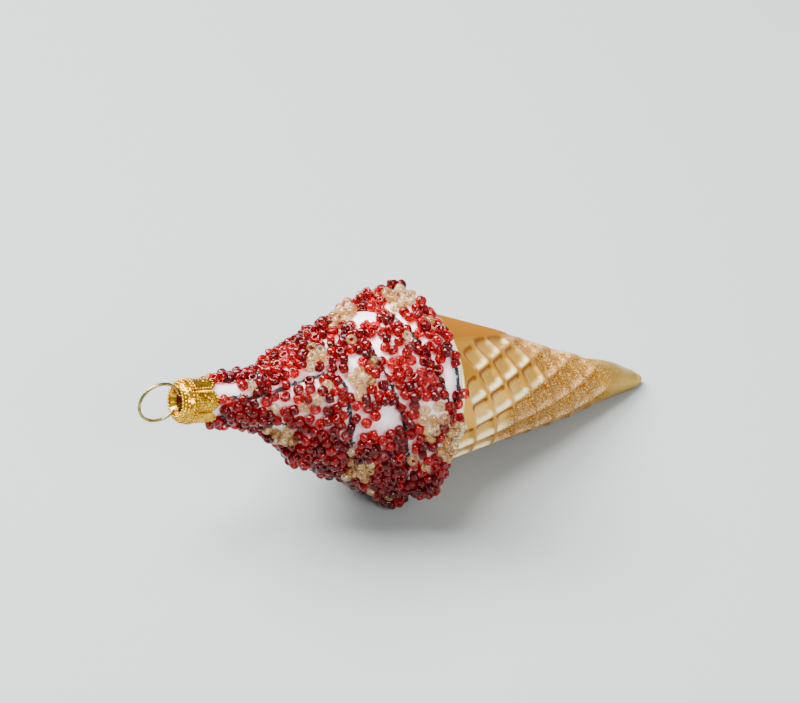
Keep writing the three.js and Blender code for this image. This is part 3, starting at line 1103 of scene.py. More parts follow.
@dataclass
class SeedBeads:
    """The seed beads glued over the swirl, single and in small heaps.

    Attributes:
        glass: The glass that they are glued to.
        radius: A bead's outer radius.
        hole: Radius of its hole.
        half_length: Half its length along the hole.
        shoulder_share: Radius of its rounded shoulder, as a share of the outer one.
        hole_end_share: Where the hole ends, as a share of the half length.
        side_share: Where its straight side ends, as a share of the half length.
        segments: Steps round a bead.
        upright_share: Share of the beads on the glass whose holes point out of it.
        out_shares: How far a hole points out of the glass, for the others and for these.
        floor_gap: Gap left between a bead and the floor.
        batch: Number of darts thrown at once.
        most_darts: Number of darts thrown at most.
        first_seed: Seed for the places of the beads that the solid also has.
        first_count: How many they are.
        first_spacing: Least distance between them.
        first_length: Length of the solid's bead.
        first_sunk: How deep that stands in the glass.
        first_rise: How much further out they are shown.
        first_stations: Their lowest and highest station.
        line_clearance: Distance that they keep from a groove.
        most_shift: How far one of them may be moved up from the rim.
        heap_seed: Seed for the places of the other beads.
        heap_count: How many they are.
        heap_gap: Least distance between two beads.
        heap_lift: How high they are heaped at most.
        lift_step: Steps in which a bead looks for a place higher up.
        rest_height: Height of a bead's middle when it lies on the glass.
        heap_stations: Their lowest and highest station.
        line_half_width: Distance from a groove within which few of them fall.
        over_line_share: Share of the darts that count there.
        rim_clearance: Distance that beads keep from the line round the rim.
        lower_rim_clearance: The same for the other beads on the lower side.
        lower_side: How far up a normal may point on the lower side.
        patches: Patches bare of the solid's beads: [angle in degrees, station, half width
            round, half length].
        heap_patches: Patches bare of the other beads.
        sparse_spots: Where the other beads are few: [angle in degrees, station, spread].
        sparse_share: Share of the darts that count in the middle of such a spot.
        mounds: Where they are heaped higher: [angle in degrees, station, spread].
        mound_lift: How much higher.
        pale_spots: Where pale beads gather: [angle in degrees, station, spread].
        pale_base_share: Share of pale beads everywhere else.
        beads: The beads that have been placed.
    """

    glass: SwirlGlass
    radius: float = 1.12
    hole: float = 0.42
    half_length: float = 0.76
    shoulder_share: float = 0.8
    hole_end_share: float = 0.84
    side_share: float = 0.6
    segments: int = 10
    upright_share: float = 0.42
    out_shares: Range = (0.15, 0.92)
    floor_gap: float = 0.02
    batch: int = 2000
    most_darts: int = 40000
    first_seed: int = 20261
    first_count: int = 170
    first_spacing: float = 3.5
    first_length: float = 2.9
    first_sunk: float = 0.7
    first_rise: float = 0.2
    first_stations: Range = (63.8, 109.4)
    line_clearance: float = 1.15
    most_shift: float = 1.4
    heap_seed: int = 77003
    heap_count: int = 800
    heap_gap: float = 1.72
    heap_lift: float = 0.75
    lift_step: float = 0.12
    rest_height: float = 0.85
    heap_stations: Range = (62.7, 110.6)
    line_half_width: float = 0.9
    over_line_share: float = 0.1
    rim_clearance: float = 1.0
    lower_rim_clearance: float = -0.8
    lower_side: float = 0.45
    pale_base_share: float = 0.05
    patches: Patches = (
        (101, 76.8, 3.6, 2.5), (41, 66.4, 5.2, 1.9), (17, 78.4, 3.0, 2.2), (70, 108.2, 2.0, 2.6),
        (10, 83.4, 5.2, 1.6), (62, 84, 1.6, 1.4),
    )
    heap_patches: Patches = (
        (103, 76.9, 4.0, 2.9), (76, 78.6, 2.2, 1.0), (41, 66.4, 5.4, 1.9), (17, 78.7, 3.2, 2.5),
        (70, 108.0, 2.0, 2.9), (6, 83.8, 4.4, 0.8), (62, 84, 1.6, 1.4), (-39, 85.1, 1.5, 1.1),
    )
    sparse_spots: Spots = (
        (32, 91, 6.0), (20, 97, 3.5), (58, 95, 3.6), (24, 72, 3.6), (96, 82, 3.4), (64, 74, 3.0),
        (10, 80, 3.4),
    )
    sparse_share: float = 0.16
    mounds: Spots = (
        (112, 67, 3.2), (118, 84, 3.0), (-52, 90, 4.0), (-62, 66, 3.4), (-40, 80, 3.0),
        (-27, 65.6, 3.6),
    )
    mound_lift: float = 1.1
    pale_spots: Spots = (
        (123, 79.4, 4.0), (103, 69, 4.2), (17, 70.4, 3.6), (5, 65.2, 4.6), (-29, 80, 2.8),
        (47, 83.7, 2.4), (80, 88.9, 2.6), (-40, 96, 3.0), (-70, 70, 3.6), (-100, 88, 3.2),
        (-140, 74, 3.8), (172, 90, 3.0), (150, 70, 3.8), (-160, 98, 2.6), (-120, 64, 3.4),
    )
    beads: list[Bead] = field(default_factory=list)

    def on_patch(self, patches: Patches, angle: np.ndarray, station: np.ndarray) -> np.ndarray:
        """Tells which places are on a bare patch.

        Args:
            patches: The bare patches.
            angle: Angles of the places.
            station: Stations of the places.

        Returns:
            True for the places on a patch.
        """
        bare = np.zeros(len(angle), bool)
        for patch_deg, patch_station, half_round, half_length in patches:
            turn = turn_between(angle, math.radians(patch_deg))
            across = turn * self.glass.radius(patch_station) / half_round
            along = (station - patch_station) / half_length
            bare |= across**2 + along**2 < 1
        return bare

    def darts(self, seed: int, stations: Range, patches: Patches) -> Iterator[Dart]:
        """Throws darts at the glass, as many to each stretch of it as its size asks for.

        Args:
            seed: Seed of the stream of random numbers.
            stations: Lowest and highest station.
            patches: The patches that are left bare.

        Yields:
            The darts that aren't thinned out and don't land on a bare patch.
        """
        draws = Draws(seed)
        glass = self.glass
        widest = float(glass.radius(glass.fullest_station))
        low, high = stations
        for _ in range(self.most_darts // self.batch):
            raw = np.array([[draws.next() for _ in range(3)] for _ in range(self.batch)])
            angle = (raw[:, 0] - 0.5) * TURN
            station = low + (high - low) * raw[:, 1]
            kept = raw[:, 2] <= glass.radius(station) / widest
            kept &= ~self.on_patch(patches, angle, station)
            angle, station = angle[kept], station[kept]
            distances = glass.groove_distance(angle, station)
            sinks = glass.sink(angle, station)
            gaps = station - smooth_value(glass.rim_line, np.degrees(angle))
            for a, s, sink, distance, gap in zip(angle, station, sinks, distances, gaps):
                measures = (float(sink), float(distance), float(gap))
                yield Dart(glass.point(a, s, 0), glass.normal(a, s), *measures)

    @cached_property
    def spot_points(self) -> dict[Spots, list[tuple[Vector, float]]]:
        """Gives where each kind of spot is on the glass, with its spread.

        Returns:
            Each kind's points, each with its spread.
        """
        return {spots: [(self.glass.point(math.radians(degrees), station, self.radius), spread)
                        for degrees, station, spread in spots]
                for spots in (self.pale_spots, self.sparse_spots, self.mounds)}

    def nearness(self, spots: Spots, centre: Vector) -> float:
        """Gives how near a point is to some spots: 1 in the middle of one, 0 away from all."""
        return max(math.exp(-(((centre - spot).length / spread) ** 4))
                   for spot, spread in self.spot_points[spots])

    def add(self, draws: Draws, centre: Vector, normal: Vector, lies_flat: bool) -> None:
        """Adds a bead with a random turn and colour.

        Args:
            draws: The stream of random numbers.
            centre: The bead's middle.
            normal: The way out of the glass there.
            lies_flat: Whether the bead touches the glass, so that its hole points out or along it.
        """
        axis = draws.direction()
        if lies_flat:
            level = (axis - normal * axis.dot(normal)).normalized()
            flat, upright = self.out_shares
            out_share = upright if draws.next() < self.upright_share else flat
            axis = (normal * out_share + level * math.sqrt(1 - out_share**2)).normalized()
        pale = draws.next() < self.pale_base_share + self.nearness(self.pale_spots, centre)
        colour = BeadColour.PALE if pale else BeadColour.RED
        self.beads.append(Bead(centre, axis, colour, draws.next()))

    def spread_first(self) -> None:
        """Spreads the beads that the solid also has, at the places that it has them."""
        looks = Draws(self.heap_seed + 1)
        spots: list[Vector] = []
        for dart in self.darts(self.first_seed, self.first_stations, self.patches):
            if dart.line_distance < self.line_clearance:
                continue
            centre = dart.foot + dart.normal * (self.first_length / 2 - self.first_sunk - dart.sink)
            if any((spot - centre).length < self.first_spacing for spot in spots):
                continue
            spots.append(centre)
            shown = centre + dart.normal * self.first_rise
            shown.z += min(max(self.rim_clearance - dart.rim_gap, 0), self.most_shift)
            self.add(looks, self.above_floor(shown), dart.normal, True)
            if len(spots) == self.first_count:
                break

    @property
    def least_height(self) -> float:
        """Height in the frame at which a bead's middle clears the floor."""
        return (self.radius + self.floor_gap) * MM

    def above_floor(self, centre: Vector) -> Vector:
        """Lifts a middle that would put its bead through the floor.

        Args:
            centre: The middle.

        Returns:
            The middle, or the lifted one.
        """
        placed = LAY.matrix @ centre
        if placed.z >= self.least_height:
            return centre
        placed.z = self.least_height
        return LAY.matrix.inverted() @ placed

    def heap_rest(self) -> None:
        """Drops the other beads, each on the glass or on the beads that it falls on."""
        looks = Draws(self.heap_seed + 2)
        centres = np.array([bead.centre for bead in self.beads])
        wanted = len(self.beads) + self.heap_count
        for dart in self.darts(self.heap_seed, self.heap_stations, self.heap_patches):
            if len(self.beads) == wanted:
                break
            if dart.line_distance < self.line_half_width and looks.next() > self.over_line_share:
                continue
            if looks.next() < self.nearness(self.sparse_spots, dart.foot) - self.sparse_share:
                continue
            on_lower_side = dart.normal.y < self.lower_side
            if dart.rim_gap < (self.lower_rim_clearance if on_lower_side else self.rim_clearance):
                continue
            highest = self.heap_lift + self.mound_lift * self.nearness(self.mounds, dart.foot)
            for lift in np.arange(0, highest, self.lift_step):
                centre = dart.foot + dart.normal * (self.rest_height - dart.sink + float(lift))
                if np.linalg.norm(centres - np.array(centre), axis=1).min() >= self.heap_gap:
                    break
            else:
                continue
            if (LAY.matrix @ centre).z < self.least_height and lift > 0:
                continue
            centre = self.above_floor(centre)
            self.add(looks, centre, dart.normal, lift == 0)
            centres = np.vstack([centres, centre])
        log.info("%d beads", len(self.beads))

    def shape(self) -> Skin:
        """Makes one bead: a short tube with rounded ends.

        Returns:
            The bead's skin.
        """
        half = self.half_length
        upper = [
            (self.radius, half * self.side_share), (self.radius * self.shoulder_share, half),
            (self.hole, half * self.hole_end_share),
        ]
        lower = [(radius, -height) for radius, height in reversed(upper)]
        return turned([*lower, *upper, lower[0]], self.segments)

    def build(self) -> list[bpy.types.Object]:
        """Makes one piece for each colour.

        Returns:
            The pieces.
        """
        pieces = []
        for colour in BeadColour:
            name, slot, _ = colour.value
            copies = Copies(self.shape())
            for bead in self.beads:
                if bead.colour is colour:
                    copies.add(Matrix.Translation(bead.centre) @ turned_to(bead.axis), bead.tint)
            pieces.append(piece(name, copies.mesh(name), BeadGlass(colour).material()))
        return pieces


@dataclass
class GlitterLines:
    """The black glitter drawn along the grooves and round the rim.

    Attributes:
        glass: The glass that they lie on.
        core_radius: Radius of the line's solid middle.
        widths: Least and greatest share of that radius along a line.
        width_step: How much the share changes at most from step to step.
        height: Height of the line's middle above the glass.
        groove_steps: Steps along a groove's line.
        rim_steps: Steps along the line round the rim.
        grain_radii: Smallest and largest grain.
        grain_step: Distance along a line between grains.
        spread: How far grains stray to the side.
        seed: Seed of the random numbers.
    """

    glass: SwirlGlass
    core_radius: float = 0.3
    widths: Range = (0.6, 1.5)
    width_step: float = 0.25
    height: float = 0.05
    groove_steps: int = 180
    rim_steps: int = 260
    grain_radii: Range = (0.12, 0.27)
    grain_step: float = 0.11
    spread: float = 0.3
    seed: int = 4117

    def on_glass(self, angle: float, station: float) -> Vector:
        """Gives the point of a line's middle at a place on the grooved glass."""
        sink = float(self.glass.sink(angle, station)[0])
        return self.glass.point(angle, station, self.height - sink)

    def routes(self) -> Iterator[tuple[list[Vector], bool]]:
        """Gives each line's points on the glass, and whether it closes on itself.

        Yields:
            The points, and True if the line closes.
        """
        for route in self.glass.grooves.routes:
            steps = self.glass.grooves.route_steps(route, self.groove_steps)
            yield [self.on_glass(angle, station) for angle, station in steps], False
        turns = np.linspace(-180, 180, self.rim_steps, endpoint=False)
        stations = smooth_value(self.glass.rim_line, turns)
        yield [self.on_glass(math.radians(turn), s) for turn, s in zip(turns, stations)], True

    def build(self) -> bpy.types.Object:
        """Makes the lines.

        Returns:
            The piece.
        """
        draws = Draws(self.seed)
        shape = bmesh.new()
        bmesh.ops.create_icosphere(shape, subdivisions=1, radius=1.0)
        grains = Copies(shape)
        cores = []
        narrow, wide = self.widths
        for points, closed in self.routes():
            width = 1.0
            radii = []
            for _ in points:
                width += draws.between(-self.width_step, self.width_step)
                width = min(max(width, narrow), wide)
                radii.append(self.core_radius * width)
            cores.append(tube("glitter_core", points, radii, closed))
            self.scatter(draws, grains, points, radii)
        mesh = joined("glitter_lines", [*cores, grains.mesh("glitter_grains")])
        return piece("glitter_lines", mesh, BlackGlitter().material())

    def scatter(self, draws: Draws, grains: Copies, points: Sequence[Vector],
                radii: Sequence[float]) -> None:
        """Strews grains along a line.

        Args:
            draws: The stream of random numbers.
            grains: Where the grains are added.
            points: The line's points.
            radii: The line's radius at each point.
        """
        for start, end, radius in zip(points, points[1:], radii):
            count = max(1, round((end - start).length / self.grain_step))
            for i in range(count):
                middle = start.lerp(end, i / count)
                stray = draws.direction() * (radius + self.spread * draws.next() ** 2)
                size = draws.between(*self.grain_radii)
                place = Matrix.Translation(middle + stray) @ turned_to(draws.direction())
                grains.add(place @ Matrix.Scale(size, 4), draws.next())


@dataclass(frozen=True)
class RidgeFamily:
    """One of the two families of ridges on the flat wafer.

    Attributes:
        turn: Direction square to the ridges, in degrees.
        pitch: Distance between ridges.
        start: Place of the first ridge.
    """

    turn: float
    pitch: float
    start: float

    def phase(self, x: np.ndarray, y: np.ndarray) -> np.ndarray:
        """Gives how many pitches each wafer point is from the first ridge."""
        turn = math.radians(self.turn)
        return (x * math.cos(turn) + y * math.sin(turn) - self.start) / self.pitch


@dataclass
class WaffleCone:
    """The rolled wafer: a grid of pockets, with a smooth flap along its upper side.

    Attributes:
        half_angle: Slope of the cone's side, in degrees.
        apex_station: Station of the plain cone's point.
        top_station: Station of its wide end.
        swell: [station, distance] by which it stands out of a plain cone.
        sag: [station, distance] by which it sags towards its lower side.
        edge_round: Rounding of its wide end.
        pocket_depth: Depth of a pocket.
        crest_share: Share of the pitch by which a ridge's crest is narrowed.
        wall_share: Share of the pitch from a ridge's middle to the foot of its wall.
        pocket_stations: Lowest and highest station of a pocket's middle.
        tip_fade: Stations between which the pockets get their full depth.
        tip_depth_share: Share of that depth towards the tip.
        top_fade: Stations between which the pockets end at the wide end.
        flap_start: Station where the flap's point is.
        flap_middle: Angle of its middle, in degrees.
        flap_half_width: Half its width at the wide end, in degrees.
        flap_lift: How far it stands out.
        flap_edge: Where its surface rises, from outside its edge to inside.
        flap_paint: Where its colour begins, the same way.
        segments: Steps round.
        row_spacing: Distance between rows.
        families: The two families of ridges.
        glitter_edge: [angle in degrees, station] where the glitter ends.
        glitter_fade: Distances from that line, on both sides, between which it fades.
        glitter_stations: Stations between which it gets thick, away from the tip.
        glitter_tip_share: Share of the glitter at the tip.
        shine_from: Where the light comes from whose highlight and shade are painted on the walls.
        upper_wall_slopes: Slopes away from it, from no painted shade to the full one.
        lower_wall_slopes: Slopes towards it, from no painted highlight to the full one.
        crest_fade: Shares of a pocket's depth between which the walls' painted highlight and shade
            fade.
        crest_fade_share: How much of them fades.
        upper_wall_share: Share of the upper walls' painted shade that stays at the floor.
        metal_shares: How metallic the lacquer is, and how much less so on the lower and
            upper walls.
        tip_stations: Stations between which the tip's colour ends.
    """

    half_angle: float = 14.15
    apex_station: float = -5.6
    top_station: float = 60.9
    swell: Curve = (
        (0, 0), (4, 0.1), (9, 0.25), (14, 0.3), (24, 0.5), (34, 0.5), (44, 0.3), (60.9, 0),
    )
    sag: Curve = (
        (0, 0), (4, 0.05), (9, -0.3), (14, 0), (20, 0.4), (28, 0.5), (36, 0.1), (60.9, 0),
    )
    edge_round: float = 0.6
    pocket_depth: float = 0.9
    crest_share: float = 0.14
    wall_share: float = 0.34
    pocket_stations: Range = (13.5, 57.5)
    tip_fade: Range = (10, 26)
    tip_depth_share: float = 0.4
    top_fade: Range = (58.0, 60.0)
    flap_start: float = 40.0
    flap_middle: float = 103.0
    flap_half_width: float = 33.0
    flap_lift: float = 0.28
    flap_edge: Range = (-0.25, 0.3)
    flap_paint: Range = (-0.3, 0.6)
    segments: int = 260
    row_spacing: float = 0.3
    families: tuple[RidgeFamily, RidgeFamily] = (
        RidgeFamily(74.9, 5.5, 0.68), RidgeFamily(-26.5, 5.7, 4.9),
    )
    glitter_edge: Curve = (
        (-180, 40), (-120, 43), (-60, 46), (-20, 46.5), (1, 46.3), (16, 45.8), (24, 42.9), (34, 39.6),
        (43, 35.8), (66, 39), (83, 41.2), (101, 40.3), (130, 40), (180, 40),
    )
    glitter_fade: Range = (-1.0, 3.0)
    glitter_stations: Range = (6, 20)
    glitter_tip_share: float = 0.15
    shine_from: tuple[float, float, float] = (0.2, 0.85, 0.5)
    upper_wall_slopes: Range = (0.02, 0.2)
    lower_wall_slopes: Range = (0.04, 0.32)
    crest_fade: Range = (0.4, 1.0)
    crest_fade_share: float = 0.85
    upper_wall_share: float = 0.35
    metal_shares: tuple[float, float, float] = (0.7, 0.95, 0.7)
    tip_stations: Range = (8, 22)

    def radius(self, station: Numbers) -> np.ndarray:
        """Gives the cone's radius at a station, without its relief."""
        plain = (np.asarray(station) - self.apex_station) * math.tan(math.radians(self.half_angle))
        return plain + smooth_value(self.swell, station)

    def flap_inside(self, angle: np.ndarray, station: np.ndarray) -> np.ndarray:
        """Gives how far inside the flap's edge each place is, in millimetres.

        Args:
            angle: Angles of the places.
            station: Stations of the places.

        Returns:
            The distances, negative outside the flap.
        """
        along = (station - self.flap_start) / (self.top_station - self.flap_start)
        half = math.radians(self.flap_half_width) * np.sqrt(np.maximum(along, 0))
        middle = math.radians(self.flap_middle)
        return (half - np.abs(turn_between(angle, middle))) * self.radius(station)

    def has_pocket(self, cells: tuple[np.ndarray, np.ndarray]) -> np.ndarray:
        """Tells which cells of the grid hold a pocket.

        Args:
            cells: Number of each cell in the two families.

        Returns:
            True for the cells off the seam and the flap and away from both ends.
        """
        first, second = self.families
        across = [f.start + (cell + 0.5) * f.pitch for f, cell in zip(self.families, cells)]
        a, b = math.radians(first.turn), math.radians(second.turn)
        x = (across[0] * math.sin(b) - across[1] * math.sin(a)) / math.sin(b - a)
        y = (across[1] * math.cos(a) - across[0] * math.cos(b)) / math.sin(b - a)
        slope = math.radians(self.half_angle)
        angle = np.arctan2(y, x) / math.sin(slope)
        station = self.apex_station + np.hypot(x, y) * math.cos(slope)
        off_seam = (math.pi - np.abs(angle)) * self.radius(station) > second.pitch / 2
        first_station, last_station = self.pocket_stations
        reach = (station > first_station) & (station < last_station)
        return reach & off_seam & (self.flap_inside(angle, station) < 0)

    def pockets(self, angle: np.ndarray, station: np.ndarray) -> np.ndarray:
        """Gives each place's share of a pocket's depth.

        Args:
            angle: Angles of the places.
            station: Stations of the places.

        Returns:
            Shares from 0 on a ridge to 1 on a pocket's floor.
        """
        slope = math.radians(self.half_angle)
        slant = (station - self.apex_station) / math.cos(slope)
        x = slant * np.cos(angle * math.sin(slope))
        y = slant * np.sin(angle * math.sin(slope))
        share = np.ones_like(x)
        crest = smoothstep(0.0, -self.crest_share, self.wall_share)
        cells = []
        for family in self.families:
            phase = family.phase(x, y)
            off = np.abs(phase - np.round(phase))
            share = share * (smoothstep(off, -self.crest_share, self.wall_share) - crest) / (1 - crest)
            cells.append(np.floor(phase))
        share = share * self.has_pocket((cells[0], cells[1]))
        depth = smoothstep(station, *self.tip_fade) * (1 - self.tip_depth_share) + self.tip_depth_share
        return share * depth * (1 - smoothstep(station, *self.top_fade))

    def relief(self, angle: np.ndarray, station: np.ndarray) -> np.ndarray:
        """Gives how far the wafer stands out of the plain cone at each place.

        Args:
            angle: Angles of the places.
            station: Stations of the places.

        Returns:
            The heights, negative in the pockets.
        """
        on_flap = smoothstep(self.flap_inside(angle, station), *self.flap_edge)
        pocket = self.pockets(angle, station) * (1 - on_flap)
        return self.flap_lift * on_flap - self.pocket_depth * pocket

    def skin(self) -> Skin:
        """Makes the cone's skin with its relief.

        Returns:
            The skin.
        """
        nub = LAY.nub_radius
        rows = [(0.0, 0.0)]
        for degrees in range(12, 84, 12):
            turn = math.radians(degrees)
            rows.append((nub * math.sin(turn), nub * (1 - math.cos(turn))))
        first, last = 2 * nub, self.top_station - self.edge_round
        for station in np.arange(first, last, self.row_spacing):
            rows.append((float(self.radius(station)), float(station)))
        rows.append((float(self.radius(last)), last))
        rows.append((float(self.radius(last)) - self.edge_round / 2, self.top_station))
        rows += rows_along([rows[-1], (0.0, self.top_station)], END_STEP)[1:]
        bm = turned(rows, self.segments)

        def embossed(radius: np.ndarray, angle: np.ndarray, station: np.ndarray) -> Moved:
            """Presses the pockets into the skin."""
            outer = (station > first) & (station < last) & (radius > self.radius(station) - 0.2)
            return np.where(outer, radius + self.relief(angle, station), radius), station

        place_round(bm, embossed)
        return bm

    def build(self) -> bpy.types.Object:
        """Makes the cone.

        Returns:
            The piece.
        """
        bm = self.skin()
        bm.normal_update()
        radius, angle, station = polar(bm)
        slope = math.radians(self.half_angle)
        plain = np.stack([np.cos(angle) * math.cos(slope), np.sin(angle) * math.cos(slope),
                          np.full_like(angle, -math.sin(slope))], 1)
        lean = np.array([v.normal for v in bm.verts]) - plain
        # Painted light: walls that lean towards shine_from get a painted highlight, those that lean
        # away a painted shade.
        upward = lean @ np.array(self.shine_from)
        inside = self.flap_inside(angle, station)
        flap = smoothstep(inside, *self.flap_paint)
        pocket = self.pockets(angle, station) * (1 - smoothstep(inside, *self.flap_edge))
        near_crest = 1 - self.crest_fade_share * smoothstep(pocket, *self.crest_fade)
        at_floor = self.upper_wall_share
        painted_shade_wall = smoothstep(-upward, *self.upper_wall_slopes)
        painted_shade_wall = painted_shade_wall * (at_floor + (1 - at_floor) * near_crest)
        painted_highlight_wall = smoothstep(upward, *self.lower_wall_slopes) * near_crest
        metal, less_on_lower, less_on_upper = self.metal_shares
        metal = metal * (1 - less_on_lower * painted_highlight_wall) * (1 - less_on_upper * painted_shade_wall)
        edge = smooth_value(self.glitter_edge, np.degrees(angle))
        at_tip = self.glitter_tip_share
        thick = at_tip + (1 - at_tip) * smoothstep(station, *self.glitter_stations)
        tones = {
            "floor": pocket,
            "painted_shade_wall": painted_shade_wall,
            "painted_highlight_wall": painted_highlight_wall,
            "flap": flap,
            "matt": np.maximum(flap, painted_shade_wall),
            "metal": metal * (1 - flap),
            "tip": 1 - smoothstep(station, *self.tip_stations),
            "glitter": smoothstep(edge - station, *self.glitter_fade) * thick,
        }
        let_sag(bm, self.sag)
        flatten_on_floor(bm)
        mesh = mesh_of(bm, "wafer_cone")
        for name, values in tones.items():
            set_attribute(mesh, name, values)
        return piece("wafer_cone", mesh, WaferLacquer().material())


@dataclass
class PressedCap:
    """The pressed metal cap: a dished throat, rows of pearls and a skirt cut into lobes.

    Attributes:
        radius: Radius of the side.
        wall: Thickness of the sheet.
        skirt_station: Station of the notches between the lobes.
        shoulder_station: Station where the side turns in.
        end_station: Station of the end face.
        end_radius: Radius where the end face begins.
        throat_radius: Radius of the throat's rim.
        throat_depth: Depth of the throat.
        hole_radius: Radius of its hole.
        lobes: Number of lobes.
        lobe_centre: Angle of the middle of the first one, in degrees.
        lobe_length: How far a lobe reaches past the notches.
        lobe_roundness: Larger for narrower lobes.
        crease_depth: How far the side sinks evenly towards a crease.
        slit_depth: Depth of the narrow crease between two lobes.
        slit_width: Its half width.
        slit_fade: Stations between which it ends.
        emboss_side: Distances from a lobe's middle between which its pattern ends.
        emboss_foot: Distances from its edge between which the pattern begins.
        emboss_top: Stations between which the pattern ends.
        lattice_height: Height of the pattern's small knobs.
        lattice_pitch: Distance between them.
        chevron_depth: Depth of the groove over the pattern, shaped like a V.
        chevron_place: Distance of its point from the lobe's edge.
        chevron_slope: How steeply it rises to both sides.
        chevron_width: Its half width.
        hem_height: Height of the hem along a lobe's edge.
        hem_width: Its half width.
        row_spacing: Distance between rows.
        segments: Steps round.
        pearl_radius: Radius of a pearl.
        pearl_pitch: Distance between pearls.
        end_rings: [radius, distance below the end face] of the pearls' rows on the end.
        side_rings: [distance inside the side, distance below the shoulder] of the others.
        dot_radius: Radius of a dot.
        dot_pitch: Distance between dots.
        dot_count: Dots on each half of a lobe at most.
        dot_corner: Distance from the crease where the row of dots turns up along it.
        dot_height: Distance of the row from the lobe's edge.
        dot_end: Distance below the shoulder where the row ends.
    """

    radius: float = 4.45
    wall: float = 0.35
    skirt_station: float = 112.4
    shoulder_station: float = 116.9
    end_station: float = 118.7
    end_radius: float = 3.4
    throat_radius: float = 2.75
    throat_depth: float = 1.4
    hole_radius: float = 2.2
    lobes: int = 6
    lobe_centre: float = 31.5
    lobe_length: float = 1.35
    lobe_roundness: float = 1.1
    crease_depth: float = 0.14
    slit_depth: float = 0.3
    slit_width: float = 0.17
    slit_fade: Range = (115.6, 116.4)
    emboss_side: Range = (1.25, 1.45)
    emboss_foot: Range = (0.3, 0.6)
    emboss_top: Range = (115.6, 116.2)
    lattice_height: float = 0.09
    lattice_pitch: float = 1.05
    chevron_depth: float = 0.2
    chevron_place: float = 1.9
    chevron_slope: float = 0.9
    chevron_width: float = 0.2
    hem_height: float = 0.08
    hem_width: float = 0.2
    row_spacing: float = 0.12
    segments: int = 252
    pearl_radius: float = 0.29
    pearl_pitch: float = 0.72
    end_rings: Curve = ((3.08, 0.08), (3.72, 0.42), (4.14, 1.0))
    side_rings: Curve = ((0.06, 0.2), (0.04, 0.85))
    dot_radius: float = 0.22
    dot_pitch: float = 0.62
    dot_count: int = 11
    dot_corner: float = 0.5
    dot_height: float = 0.42
    dot_end: float = 1.1

    @property
    def half_lobe(self) -> float:
        """Distance along the side from a lobe's middle to its crease."""
        return math.pi / self.lobes * self.radius

    def lobe_turn(self, angle: Numbers) -> np.ndarray:
        """Gives each angle's turn from the middle of its lobe.

        Args:
            angle: The angles.

        Returns:
            The turns in radians.
        """
        whole = TURN / self.lobes
        turn = np.asarray(angle) - math.radians(self.lobe_centre)
        return (turn + whole / 2) % whole - whole / 2

    def lobe_share(self, angle: Numbers) -> np.ndarray:
        """Gives the share of a lobe's length at each angle: 1 at its middle, 0 at a crease."""
        return np.abs(np.cos(self.lobe_turn(angle) * self.lobes / 2)) ** self.lobe_roundness

    def skirt_at(self, angle: Numbers) -> np.ndarray:
        """Gives the station of the skirt's edge at each angle."""
        return self.skirt_station - self.lobe_length * self.lobe_share(angle)

    def relief(self, angle: np.ndarray, station: np.ndarray) -> np.ndarray:
        """Gives the embossed height on the side of the cap.

        Args:
            angle: Angles of the places.
            station: Stations of the places.

        Returns:
            The heights, negative in the creases between lobes.
        """
        across = self.lobe_turn(angle) * self.radius
        aside = np.abs(across)
        above = station - self.skirt_at(angle)
        slit = -self.slit_depth * np.exp(-(((self.half_lobe - aside) / self.slit_width) ** 2))
        slit = slit * (1 - smoothstep(station, *self.slit_fade))
        dome = self.crease_depth * (self.lobe_share(angle) - 1)
        in_lobe = (1 - smoothstep(aside, *self.emboss_side)) * smoothstep(above, *self.emboss_foot)
        in_lobe = in_lobe * (1 - smoothstep(station, *self.emboss_top))
        lattice = self.lattice_height * np.cos(TURN * (above + across) / self.lattice_pitch)
        lattice = lattice * np.cos(TURN * (above - across) / self.lattice_pitch)
        over_chevron = above - self.chevron_place - aside * self.chevron_slope
        chevron = -self.chevron_depth * np.exp(-((over_chevron / self.chevron_width) ** 2))
        hem = self.hem_height * np.exp(-((above / self.hem_width) ** 2))
        return slit + dome + (lattice + chevron) * in_lobe + hem

    def sheet(self) -> Skin:
        """Makes the cap's sheet.

        Returns:
            The sheet's skin.
        """
        inner = self.radius - self.wall
        underside = self.end_station - self.throat_depth - self.wall
        side = rows_along([(self.radius, self.skirt_station), (self.radius, self.shoulder_station)],
                          self.row_spacing)
        top = rows_along([
            (self.radius, self.shoulder_station),
            ((self.radius + self.end_radius) / 2 + 0.1, self.end_station - 0.6),
            (self.end_radius, self.end_station - 0.05),
            (self.throat_radius + 0.25, self.end_station),
            (self.throat_radius, self.end_station - 0.2),
            (self.hole_radius, self.end_station - self.throat_depth),
        ], self.row_spacing)[1:]
        inside = [
            (self.hole_radius + 0.05, underside), (self.throat_radius + 0.3, underside),
            (inner, self.shoulder_station - 0.3), (inner, self.skirt_station),
            (self.radius, self.skirt_station),
        ]
        bm = turned(side + top + inside, self.segments)

        def pressed(radius: np.ndarray, angle: np.ndarray, station: np.ndarray) -> Moved:
            """Draws the lobes out and embosses the side.

            Args:
                radius: Radii of the vertices.
                angle: Their angles.
                station: Their stations.

            Returns:
                The new radii and stations.
            """
            height = self.shoulder_station - self.skirt_station
            down = np.clip((self.shoulder_station - station) / height, 0, 1)
            lower = station - self.lobe_length * self.lobe_share(angle) * down
            on_side = (radius > self.radius - 0.01) & (station < self.shoulder_station + 0.01)
            return np.where(on_side, radius + self.relief(angle, lower), radius), lower

        place_round(bm, pressed)
        return bm

